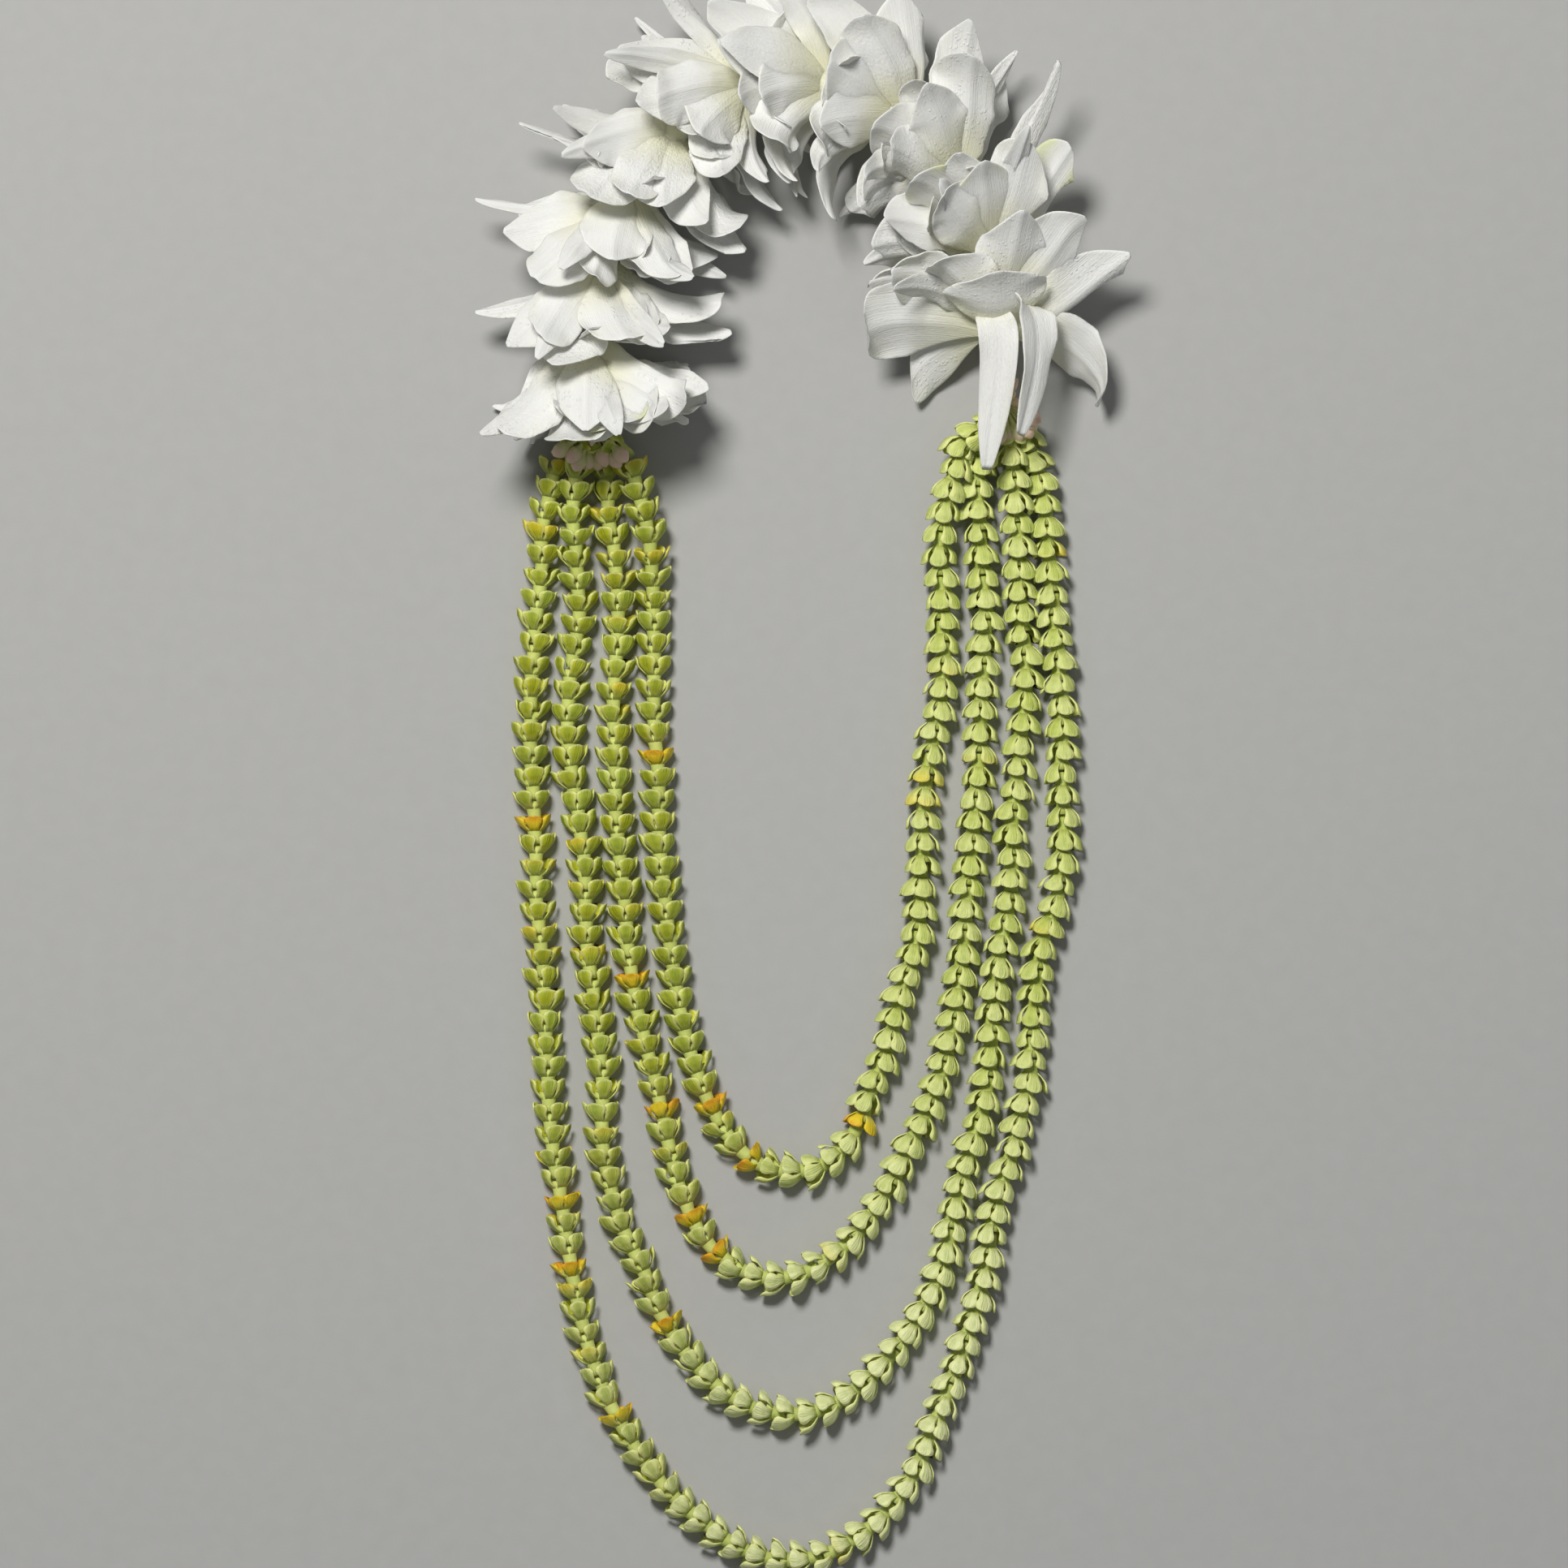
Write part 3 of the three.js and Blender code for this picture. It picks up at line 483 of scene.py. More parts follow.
def strand_route(end_height, flat_points):
    flat = np.array(flat_points, float)
    walked = np.concatenate([[0], np.cumsum(np.linalg.norm(np.diff(flat, axis=0), axis=1))])
    to_end = np.minimum(walked, walked[-1] - walked)
    height = AXIS_HEIGHT + (end_height - AXIS_HEIGHT) * smooth_step(RISE_LENGTH - to_end, 0, RISE_LENGTH)
    return Route(np.column_stack([flat, height]))


routes = [strand_route(end_height, points) for _, end_height, _, points in STRANDS]
print("strand lengths in mm:", [round(route.length) for route in routes])

# %% [markdown]
# ### One small flower
# The flower is a fleshy tube that widens to a mouth with five spoon-shaped petals, and the back of each
# flower sits in the mouth of the one before. The tube is turned ring by ring. The petal is a small sheet
# with few faces, because there will be nearly two thousand of them, and is hollowed when it is laid in place.

# %% Patterns of the small flower
TUBE_PROFILE = [(-1.6, 2.1), (0.0, 2.35), (1.8, 2.45), (3.1, 2.75), (5.2, 3.35), (4.9, 1.6)]
SPOON_OUTLINE = [0.22, 0.26, 0.36, 0.47, 0.5, 0.4, 0.13]
TIP_CROWDING = 1.35  # rows of the petal lie closer together near its round tip
TUBE = turned_pattern("floret_tube", TUBE_PROFILE, sides=10)
GREEN_PETAL = sheet_pattern("floret_petal", SPOON_OUTLINE, columns=4, thickness=0.5)

petal_across, petal_along, petal_depth = GREEN_PETAL.points.T
petal_along = np.clip(petal_along, 0, 1)
half_widths = np.interp(petal_along, np.linspace(0, 1, len(SPOON_OUTLINE)), SPOON_OUTLINE)
to_rim = np.clip(np.abs(petal_across) / half_widths, 0, 1)
to_tip = 1 - (1 - petal_along) ** TIP_CROWDING

# %% [markdown]
# A petal opens outwards from the mouth. Where a neighbouring strand or the table is in the way it opens less,
# so its reach is worked out first. Older flowers hold their petals wide. Real flowers are never quite alike,
# so each one draws its size, its sway and its opening from a row of repeatable numbers.

# %% Place a flower with its whorl of petals
PITCH = 7.7
PETALS = 5
TIP_RADIUS = 6.3
TIP_AHEAD = 9.8
PETAL_START, PETAL_START_RADIUS = 2.8, 2.5
PETAL_WIDTH = 6.5
CUP_HASTE = 1.3  # a petal stands upright from 1 / 1.3 of its length on
SPOON_RADIUS = 2.9  # how strongly a petal is rounded across
HOLLOW_DEPTH, BACK_SWELL = 0.85, 0.45
SWAY = 2.4
LOOSENESS = math.radians(7)
SHORTEST_REACH = 3.6
LEAST_HEIGHT = 0.02  # over the table


def draws(seed):
    """Repeatable draws between 0 and 1."""
    state = seed
    while True:
        state = state * 48271 % 2147483647
        yield state / 2147483647


def between(random, low, high):
    return low + (high - low) * next(random)


def free_reach(point, direction, others):
    """How far a petal may reach from the thread before it meets the table or another strand."""
    reach = TIP_RADIUS
    if direction[2] < 0:
        reach = min(reach, point[2] / -direction[2])
    for samples in others:
        towards = samples[np.argmin(((samples - point) ** 2).sum(1))] - point
        gap = np.linalg.norm(towards)
        share = direction @ towards / gap
        if share > 0.05:
            reach = min(reach, (gap / 2 - 0.1) / share)
    return max(reach, SHORTEST_REACH)


def add_flower(piece, route, throat, turn, others, tone, milky, age, random):
    own, size = next(random), between(random, 0.93, 1.07)
    sway_side, sway_up = between(random, -SWAY / 2, SWAY / 2), between(random, -SWAY / 2, SWAY / 2)

    def place(ahead, outwards, upwards):
        point, _, side, up = route.at(throat + ahead)
        share = (ahead / TIP_AHEAD)[:, None]
        sway = side * (share * sway_side) + up * (share * sway_up)
        return point + side * outwards[:, None] + up * upwards[:, None] + sway

    x, y, ahead = TUBE.points.T
    tube_along = np.clip((ahead + 1.4) / 6.3, 0, 1) * 0.25
    looks = {"tone": tone, "milky": milky}
    piece.add(
        TUBE.faces, place(ahead, x, y), along=tube_along, across=0.3, age=0.0, inner=0.0, shade=own, **looks,
    )
    tip_point, _, tip_side, tip_up = route.at(throat + TIP_AHEAD)
    flower_opening = next(random)
    for k in range(PETALS):
        angle = turn + 2 * math.pi * k / PETALS + between(random, -LOOSENESS, LOOSENESS)
        limit = free_reach(tip_point, tip_side * math.cos(angle) + tip_up * math.sin(angle), others)
        opening = min(1.0, 0.1 + (0.4 + 0.35 * tone) * flower_opening + 0.25 * next(random) + 0.6 * age)
        reach = min(limit, TIP_RADIUS * size * (0.86 + 0.24 * opening + 0.06 * next(random)))
        length = (TIP_AHEAD - PETAL_START) * (1.0 + 0.1 * next(random) - 0.2 * opening - 0.12 * age)
        cupped = np.sin(np.minimum(1, to_tip * CUP_HASTE) * math.pi / 2) ** 1.2
        straight = opening * (0.3 + 0.3 * age)
        radius = PETAL_START_RADIUS + (reach - PETAL_START_RADIUS) * (cupped + (to_tip - cupped) * straight)
        across = petal_across * PETAL_WIDTH * size * between(random, 0.92, 1.08)
        spoon = across**2 / (2 * SPOON_RADIUS) * (0.9 - 0.3 * to_tip * opening)
        hollow = HOLLOW_DEPTH * np.sin(math.pi * to_tip**1.5) * (1 - to_rim) ** 2
        swell = BACK_SWELL * np.sin(math.pi * to_tip)
        radius = radius - spoon - hollow + swell + petal_depth
        turned = angle + between(random, -0.1, 0.1) * to_tip
        outwards = radius * np.cos(turned) - across * np.sin(turned)
        upwards = radius * np.sin(turned) + across * np.cos(turned)
        places = place(PETAL_START + length * to_tip, outwards, upwards)
        places[:, 2] = np.maximum(places[:, 2], LEAST_HEIGHT)
        piece.add(
            GREEN_PETAL.faces, places, along=0.2 + 0.8 * to_tip, across=to_rim,
            age=age * between(random, 0.4, 1.0), inner=(petal_depth < 0).astype(float),
            shade=(own + next(random)) / 2, **looks,
        )


# %% [markdown]
# ### Stringing the strands
# A needle threads the flowers one by one, and so does this loop. A strand is divided into six stretches: a
# leg down each side and the bow in four parts. Colour is painted from a paler lime on the right, as light, to
# a darker olive on the left, as shade, and round the bottom of the bow it is painted paler, as light. A few
# flowers are old and orange. At both ends a few more lead up to the knot, closer together, as they are drawn
# tight.

# %% String the flowers
END_MARGIN = 1
BOW_PARTS = 4
LEAD_LENGTH = 9
LEAD_CROWDING = 0.8
RIGHT_KNOT, LEFT_KNOT = np.array([69.4, 126.6, 14]), np.array([-72.6, 118.6, 14])
LEAD_MARGINS = {"right_leg": (1.5, 12.0), "left_leg": (9.5, 7.5)}
# Below this y the left side's painted shade fades, and it turns to the paler lime.
LOW_START = -130  # under this y the olive side turns lime
LIME_STRETCHES = ("right_leg", "bow_1", "bow_2")
ORANGE_PLACES = np.array([
    [-98.6, -13.2], [-49.6, 10.6], [-58, -72], [-35.6, -112.6], [-49.6, -118.2], [-80.4, -143.4],
    [-45.4, -151.8], [-31.4, -167.2], [-53.8, -189.6], [-77.6, -165.8], [-72, -221.8], [-24.4, -133.6],
    [17.6, -115.4],
])
ORANGE_RANGE = 9.48  # mm from such a place to its flower, at most


def stretches_of(centres, bow_top):
    """The name, first flower and end of each leg and of each part of the bow."""
    below = np.flatnonzero(centres[:, 1] < bow_top)
    bow_start, bow_end = below[0], below[-1] + 1
    cuts = [bow_start + round((bow_end - bow_start) * k / BOW_PARTS) for k in range(BOW_PARTS + 1)]
    bow = [(f"bow_{k + 1}", cuts[k], cuts[k + 1]) for k in range(BOW_PARTS)]
    return [("right_leg", 0, bow_start), *bow, ("left_leg", bow_end, len(centres) - 1)]


def flower_looks(x, y):
    """How far a flower is painted darker olive, as shade, and paler, as light, from its place."""
    low = max(0.0, LOW_START - y)
    tone = float(smooth_step(-x - 0.3 * low, -14, 34))
    return tone, float(smooth_step(-y, 70, 210)) * (1 - 0.6 * tone)


def lead_route(suffix, route):
    """The thread between a leg's last flowers and its knot, in the direction of the strand."""
    if suffix == "right_leg":
        return Route(np.array([RIGHT_KNOT, route.points[0], route.at(LEAD_LENGTH)[0]]))
    return Route(np.array([route.at(route.length - LEAD_LENGTH)[0], route.points[-1], LEFT_KNOT]))


flower_count = 0
strand_random = draws(4711)
for (name, _, bow_top, _), route in zip(STRANDS, routes):
    others = [other.points[::8] for other in routes if other is not route]
    usable = route.length - 2 * END_MARGIN - (TIP_AHEAD - PITCH)
    count = round(usable / PITCH)
    throats = END_MARGIN + np.arange(count + 1) * usable / count
    middles = route.at(throats + PITCH / 2)[0][:, :2]
    gaps = [((middles - spot) ** 2).sum(1) for spot in ORANGE_PLACES]
    orange = {int(np.argmin(gap)) for gap in gaps if gap.min() < ORANGE_RANGE**2}
    turn = math.pi / 2
    for suffix, start, end in stretches_of(route.at(throats)[0], bow_top):
        slot = "lime_flower" if suffix in LIME_STRETCHES else "olive_flower"
        piece = Piece(f"flowers_{name}_{suffix}", f"{name}_{suffix}", slot, GREEN)
        for k in range(start, end):
            tone, milky = flower_looks(*middles[k])
            yellowing = 0.35 if next(strand_random) < 0.16 * tone + 0.03 else 0.0
            age = 1.0 if k in orange else yellowing
            add_flower(piece, route, throats[k], turn, others, tone, milky, age, strand_random)
            turn += math.pi / PETALS + between(strand_random, -LOOSENESS, LOOSENESS)
            flower_count += 1
        if suffix in LEAD_MARGINS:
            first, last = LEAD_MARGINS[suffix]
            lead = lead_route(suffix, route)
            tone = float(suffix == "left_leg")
            for spot in np.arange(first, lead.length - last, PITCH * LEAD_CROWDING):
                add_flower(piece, lead, spot, turn, others, tone, 0.0, 0.0, strand_random)
                turn += math.pi / PETALS
                flower_count += 1
        piece.build()
print("small flowers strung:", flower_count)

# %% [markdown]
# ## Gardenias
# The garland is part of an ellipse. Each bloom could be made flat and bent round it, but its petals would
# cut into the next bloom. So a place is given by the distance along the cord, the offset outwards and the
# height over the cord, and each gardenia fills a cup of its own, nested in the next. Petals that stand up
# bend over at the top, and petals that hang down lie on the table.

# %% The garland's space
BLOOMS = 10
GARLAND_CENTRE = np.array([-4.0, 152.0])
GARLAND_RADII = np.array([69.5, 88.0])
CORD_HEIGHT = 24.4
CROWN_HEIGHT, HANG_DEPTH, HANG_RATE = 36, 27, 1.4
LEAN, UPRIGHT_LEAN = 0.5, 0.4  # how far a cup's petals lean along the cord, per mm of reach
sweep = np.radians(np.linspace(-5.5, 193, 6001))
ring = GARLAND_CENTRE + GARLAND_RADII * np.column_stack([np.cos(sweep), np.sin(sweep)])
ring_walked = np.concatenate([[0], np.cumsum(np.linalg.norm(np.diff(ring, axis=0), axis=1))])
GARLAND_LENGTH = ring_walked[-1]
BLOOM_PITCH = GARLAND_LENGTH / BLOOMS
print("garland", round(GARLAND_LENGTH, 1), "mm, one bloom each", round(BLOOM_PITCH, 2), "mm")


def garland_place(distance, outwards, height):
    inside = np.clip(distance, 0, GARLAND_LENGTH)
    angle = np.interp(inside, ring_walked, sweep)
    x = GARLAND_CENTRE[0] + GARLAND_RADII[0] * np.cos(angle)
    y = GARLAND_CENTRE[1] + GARLAND_RADII[1] * np.sin(angle)
    slope_x, slope_y = -GARLAND_RADII[0] * np.sin(angle), GARLAND_RADII[1] * np.cos(angle)
    size = np.hypot(slope_x, slope_y)
    slope_x, slope_y = slope_x / size, slope_y / size
    past = distance - inside
    hanging = HANG_DEPTH * np.tanh(HANG_RATE * height / HANG_DEPTH)
    standing = CROWN_HEIGHT * np.tanh(height / CROWN_HEIGHT)
    z = CORD_HEIGHT + np.where(height < 0, hanging, standing)
    return np.stack([x + slope_x * past + slope_y * outwards, y + slope_y * past - slope_x * outwards,
                     np.maximum(z, 0)], axis=-1)


def cup_place(start, layer, outwards, height):
    """A place in a bloom's cup, whose layers run from 0 at its back to 1 at its front."""
    radius = np.hypot(outwards, height)
    upright = np.maximum(0, height / np.maximum(radius, 1e-6))
    lean = radius * (LEAN + UPRIGHT_LEAN * upright)
    return garland_place(start + layer * BLOOM_PITCH + lean, outwards, height)


# %% [markdown]
# ### The petals of each bloom
# Petals that give a bloom its own look are placed one by one: the angle round the cord (0 outwards, 90 up,
# 180 into the neck arc), the reach and width in millimetres, the layer from the back of the bloom (0) to its
# front (1), and a twist. Petals beyond that range, on the two end blooms, are bent back. Rings of petals
# fill each bloom by rule wherever no placed one stands, as a gardenia's whorls do.

# %% Petals placed one by one, a row for each bloom
FEATURES = [
    [(180, 46, 25, -0.3, 55), (206, 32, 25, -0.9, 60), (95, 12, 15, -1.75, 0), (48, 19, 18, -1.45, 0),
     (-12, 42, 26, -1.1, 55), (2, 47, 26, 0.2, 60), (160, 36, 28, 0.72, 40), (24, 38, 28, 0.6, 45),
     (88, 29, 40, 0.2, 0), (178, 41, 20, 0.8, 50), (124, 34, 28, 0.5, 0), (62, 33, 27, 0.7, 0)],
    [(8, 40, 27, 0.3, 70), (187, 39, 13, 0.36, 60), (4, 50, 15, 0.82, 60), (112, 34, 30, 0.7, 0),
     (72, 33, 32, 0.35, 0)],
    [(106, 33, 30, 0.62, 0), (9, 40, 25, 0.65, 60), (68, 34, 30, 0.35, 0), (30, 36, 26, 0.35, 50)],
    [(30, 38, 26, 0.68, 60), (8, 38, 25, 0.25, 60), (180, 43, 12, 0.45, 50), (80, 33, 34, 0.4, 0)],
    [(22, 34, 28, 0.7, 60), (8, 39, 11, 0.24, 50), (172, 36, 13, 0.7, 40), (100, 33, 32, 0.3, 0),
     (62, 33, 28, 0.6, 0)],
    [(170, 34, 12, 0.27, 40), (18, 34, 28, 0.68, 60), (2, 39, 10, 0.18, 50), (104, 33, 31, 0.3, 0),
     (66, 33, 30, 0.6, 0)],
    [(70, 33, 31, 0.7, 0), (183, 45, 22, 0.6, 50), (12, 34, 10, 0.5, 50), (-4, 38, 9, 0.82, 50),
     (116, 34, 30, 0.4, 30)],
    [(8, 34, 24, 0.64, 60), (-6, 41, 9, 0.52, 50), (56, 35, 28, 0.7, 10), (98, 34, 32, 0.3, 0)],
    [(181, 42, 17, 0.2, 50), (190, 46, 15, 0.65, 50), (-9, 36, 12, 0.54, 50), (70, 33, 31, 0.7, 0),
     (112, 34, 32, 0.35, 0)],
    [(104, 29, 32, 0.6, 0), (66, 29, 32, 0.75, 0), (-18, 24, 12, 1.02, 30), (0, 20, 10, 1.08, 0),
     (86, 17, 20, 1.04, 0), (196, 26, 12, 1.08, 30), (184, 35, 22, 0.7, 50)],
]
RESTING_PETAL = (270, 40, 28, 0.5, 0)
FLUSHED = ((1, 0), (1, 3), (1, 4), (9, 0))  # bloom and placed petal with a yellow-green rim
print("petals placed one by one:", sum(len(rows) for rows in FEATURES) + BLOOMS)

# %% [markdown]
# A whorl is never regular, so the rings draw each petal's angle, reach, width and layer a little off the
# rule. A petal is left out where a placed one already fills its spot.

# %% Rings of petals
# Number of petals, reach, width and layer of each ring
RINGS = [(6, 39, 24, 0.2), (6, 35, 21, 0.45), (5, 30, 20, 0.66), (5, 23, 16, 0.8), (5, 41, 11, 0.4)]
BROAD_WIDTH, SLIMMER = 26, 0.84  # broader placed petals of the nested blooms get this share of their width
LAYER_MARGIN, ROOT_MARGIN = 0.15, 0.32
SAME_SPOT = math.cos(math.radians(20))
SAME_LAYER = 0.2


def petal_plan(angle, reach, width, layer, twist):
    free = layer < 0 or layer > 1
    root = float(np.clip(layer, ROOT_MARGIN, 1 - ROOT_MARGIN))
    tip = layer if free else float(np.clip(layer, LAYER_MARGIN, 1 - LAYER_MARGIN))
    return {"angle": math.radians(angle), "reach": reach, "width": width, "root": root, "tip": tip,
            "free": free, "twist": math.radians(twist)}


def bloom_petals(index, random):
    placed = [petal_plan(*row) for row in (*FEATURES[index], RESTING_PETAL)]
    for order, plan in enumerate(placed):
        if index > 0 and plan["width"] > BROAD_WIDTH:
            plan["width"] *= SLIMMER
        if (index, order) in FLUSHED:
            plan["flush"] = 1.0
    found = list(placed)
    for count, ring_reach, ring_width, ring_layer in RINGS:
        first = 360 * next(random)
        for k in range(count):
            angle = first + 360 * k / count + between(random, -8, 8)
            reach = ring_reach * between(random, 0.86, 1.06)
            width = ring_width * between(random, 0.92, 1.08)
            sideways = abs(math.cos(math.radians(angle)))
            layer = ring_layer + 0.5 * sideways * (0.5 - ring_layer) + between(random, -0.04, 0.04)
            plan = petal_plan(angle, reach, width, layer, 60 * sideways + between(random, -25, 25))
            taken = any(
                math.cos(other["angle"] - plan["angle"]) > SAME_SPOT
                and abs(other["root"] - plan["root"]) < SAME_LAYER for other in placed
            )
            if not taken:
                found.append(plan)
    return found


# %% [markdown]
# ### One gardenia petal
# A real bloom has broad petals outside and narrow, crumpled ones inside, so four patterns are cut: a broad
# petal with a round tip, one that narrows to a point, a long strap that hangs free, and a narrow one.

# %% Petal patterns
# Name, columns, thickness in millimetres and half widths from root to tip
PETAL_PATTERNS = [
    ("broad_petal", 10, 0.8, [0.08, 0.13, 0.2, 0.28, 0.36, 0.43, 0.48, 0.5, 0.5, 0.47, 0.41, 0.3, 0.08]),
    ("pointed_petal", 10, 0.8, [0.1, 0.18, 0.28, 0.38, 0.45, 0.49, 0.5, 0.48, 0.43, 0.35, 0.25, 0.14, 0.03]),
    ("strap_petal", 8, 0.9, [0.3, 0.32, 0.34, 0.37, 0.41, 0.45, 0.48, 0.5, 0.5, 0.48, 0.43, 0.33, 0.12]),
    ("narrow_petal", 6, 0.9, [0.3, 0.37, 0.43, 0.47, 0.5, 0.5, 0.49, 0.47, 0.43, 0.37, 0.29, 0.19, 0.06]),
]
BROAD, POINTED, STRAP, NARROW = [
    sheet_pattern(name, outline, columns, thickness, finer=1)
    for name, columns, thickness, outline in PETAL_PATTERNS
]

# %% [markdown]
# The flat petal is laid into the cup of its bloom: across and along follow the cup. A twisted petal changes
# its layer across its width. A free petal of an end bloom swings out of the cup towards its tip.

# %% Lay a petal in its cup
PETAL_ROOT = 3
SHORT_REACH = 22  # a free petal that is shorter swings out sooner
ARC_RADIUS = 75


def cup_surface(start, plan, share, across):
    """Points of the petal's middle surface; across is in millimetres."""
    share = np.clip(share, 0, 1)
    angle = plan["angle"]
    rush = 3 if plan["reach"] < SHORT_REACH else 1.3
    spread = 1 - (1 - share) ** rush if plan["free"] else share
    radius = PETAL_ROOT + (plan["reach"] - PETAL_ROOT) * spread
    flat = across * math.cos(plan["twist"])
    outwards = radius * math.cos(angle) - flat * math.sin(angle)
    height = radius * math.sin(angle) + flat * math.cos(angle)
    room = BLOOM_PITCH * (1 + outwards / ARC_RADIUS)
    sign = 1 if math.cos(angle) > 0 else -1
    turned = across * math.sin(plan["twist"]) * sign / room
    swing = share**rush if plan["free"] else np.minimum(1, 2.4 * share)
    layer = plan["root"] + (plan["tip"] - plan["root"]) * swing + turned
    if not plan["free"]:
        layer = np.clip(layer, LAYER_MARGIN, 1 - LAYER_MARGIN)
    return cup_place(start, layer, outwards, height)


# %% [markdown]
# A petal that only followed its cup would look cut from paper. So each point is also lifted: the petal is
# hollowed, its tip curls back, its rim rolls and waves, and a fold runs down its middle. All are drawn.

# %% Shape each petal
NARROW_WIDTH, STRAP_LIMIT = 18, 20
STRAP_SWAY = 1.8
POINTED_SHARE = 0.65  # of the broad petals
FOLD_WIDTH = 0.07
TOP_SOFT, TOP_EXTRA = 48, 8  # petals bend over above this height, and stay under the sum
FLUSH_OF_MOST, DEWY_SHARE = 0.12, 0.6


def surface_normal(start, plan, share, across):
    """The direction out of the petal at each point, towards the front of its bloom."""
    step, side_step = 0.02, 0.4
    ahead = cup_surface(start, plan, share + step, across) - cup_surface(start, plan, share - step, across)
    beside = cup_surface(start, plan, share, across + side_step) - cup_surface(
        start, plan, share, across - side_step)
    normal = np.cross(ahead, beside)
    normal /= np.maximum(np.linalg.norm(normal, axis=1, keepdims=True), 1e-9)
    front = garland_place(start + BLOOM_PITCH, 0, 0) - garland_place(start, 0, 0)
    return -normal if (normal @ front).sum() < 0 else normal


def petal_lift(x, share, narrow, strap, free, random):
    """How far each point is lifted from the cup, in millimetres."""
    edge = np.abs(x) * 2
    cup = between(random, 0.8, 3.4) * (0.7 if narrow else 1.0)
    curl = between(random, 6, 13) if narrow and not strap else between(random, 1.5, 8)
    bend_from = 0.35 if narrow else between(random, 0.55, 0.75)
    phase = 2 * math.pi * next(random)
    wave = between(random, 0.5, 1.4) * (2.2 if strap else 1.0)
    rolls = [(6.3 if narrow else 9.1) * (next(random) - 0.25) ** 2 for _ in range(2)]
    roll = np.where(x < 0, *rolls) * (0.4 if free else 1.0)
    fold = between(random, 0.4, 1.3)
    tilt = between(random, -1.2, 1.2)
    rim = np.clip((edge - 0.55) / 0.45, 0, 1) ** 2 * smooth_step(share, 0.25, 0.75)
    lift = cup * edge**2 * np.sin(math.pi * share)
    lift -= curl * np.clip((share - bend_from) / (1 - bend_from), 0, 1) ** 2
    lift += wave * edge**2 * np.sin(2 * math.pi * 2.3 * share + phase + np.sign(x))
    lift += 0.3 * wave * edge**3 * np.sin(2 * math.pi * 6.1 * share + 2 * phase)
    lift -= roll * rim
    lift -= fold * np.exp(-((x / FOLD_WIDTH) ** 2)) * smooth_step(share, 0.15, 0.5) * (0.4 + 0.6 * share)
    return lift + tilt * x * 2 * share


def add_petal(piece, start, plan, dewy, random):
    free, width = plan["free"], plan["width"]
    narrow, strap = width < NARROW_WIDTH, free and width < STRAP_LIMIT
    rounded = free or next(random) < 1 - POINTED_SHARE
    pattern = STRAP if strap else NARROW if narrow else BROAD if rounded else POINTED
    x, share, depth = pattern.points.T
    share = np.clip(share, 0, 1)
    across = x * width * (1 - 0.12 * (np.abs(x) * 2) ** 3 * smooth_step(share, 0.3, 0.8))
    if strap:
        across += STRAP_SWAY * np.sin(2 * math.pi * 0.8 * share + 1.2) * smooth_step(share, 0.1, 0.5)
    lift = depth + petal_lift(x, share, narrow, strap, free, random)
    places = cup_surface(start, plan, share, across)
    places += surface_normal(start, plan, share, across) * lift[:, None]
    bent_over = TOP_SOFT + TOP_EXTRA * np.tanh((places[:, 2] - TOP_SOFT) / TOP_EXTRA)
    places[:, 2] = np.where(places[:, 2] > TOP_SOFT, bent_over, places[:, 2])
    places[:, 2] = np.maximum(places[:, 2], 0.05 + 0.4 * (lift > 0))
    piece.add(
        pattern.faces, places, along=share, across=x * 2, crepe=0.15 + 0.85 * next(random) ** 3,
        flush=plan.get("flush", FLUSH_OF_MOST), shade=next(random),
        dew=float(dewy and next(random) < DEWY_SHARE),
    )


# %% [markdown]
# ### The ten blooms
# Each bloom also has a short core round the cord, cream like the roots of the petals, where a real bloom has
# its tube. Half of the blooms are dewy.

# %% Make the blooms
CORE_PROFILE = [(0.0, 1.5), (0.02, 5.2), (0.4, 5.4), (0.9, 4.6), (1.0, 1.5)]
CORE = turned_pattern("bloom_core", CORE_PROFILE, sides=16, finer=1)
CORE_LOOKS = {"along": 0.05, "across": 0.0, "crepe": 0.2, "flush": 0.1, "shade": 0.5, "dew": 0.0}
DEWY_BLOOMS = (0, 2, 5, 8, 9)
plan_random = draws(4711 * 3)
look_random = draws(90210)
for index in range(BLOOMS):
    start = index * BLOOM_PITCH
    piece = Piece(f"bloom_{index + 1}", f"gardenia_{index + 1}", "white_petal", GARDENIA)
    x, y, depth = CORE.points.T
    layer = LAYER_MARGIN + (1 - 2 * LAYER_MARGIN) * depth
    piece.add(CORE.faces, cup_place(start, layer, x, y), **CORE_LOOKS)
    plans = bloom_petals(index, plan_random)
    for plan in plans:
        add_petal(piece, start, plan, index in DEWY_BLOOMS, look_random)
    piece.build()
    print("  with", len(plans), "petals")

# %% [markdown]
# ## Bud collars and threads
# A collar hides each joint between the gardenias and the strands. It has a ring of plump buds round a short
# core, and a fan of larger, pinkish buds on stems that droops over the knot.

# %% Collars
BUD_PROFILE = [(0.0, 0.7), (1.2, 1.7), (2.9, 2.15), (4.8, 1.6), (6.1, 0.8), (6.8, 0.15)]
BUD_FORM = turned_pattern("bud", BUD_PROFILE, sides=8, finer=1)
BUD_LENGTH = BUD_PROFILE[-1][0]
COLLAR_START, COLLAR_END = 0.42, 0.45
RING_BUDS, RING_RADIUS, RING_LEAN = 9, 1.6, 0.6
STEM = 4.0
STEM_BUD_PROFILE = [
    (-STEM, 0.5), (-0.6, 0.6), (0.0, 1.5), (1.2, 2.8), (2.9, 3.2), (4.6, 2.6), (5.8, 1.3), (6.3, 0.2)]
STEM_BUD = turned_pattern("stem_bud", STEM_BUD_PROFILE, sides=8, finer=1)
FAN_BUDS, FAN_REACH = 8, {"collar_right": 7, "collar_left": 7.5}
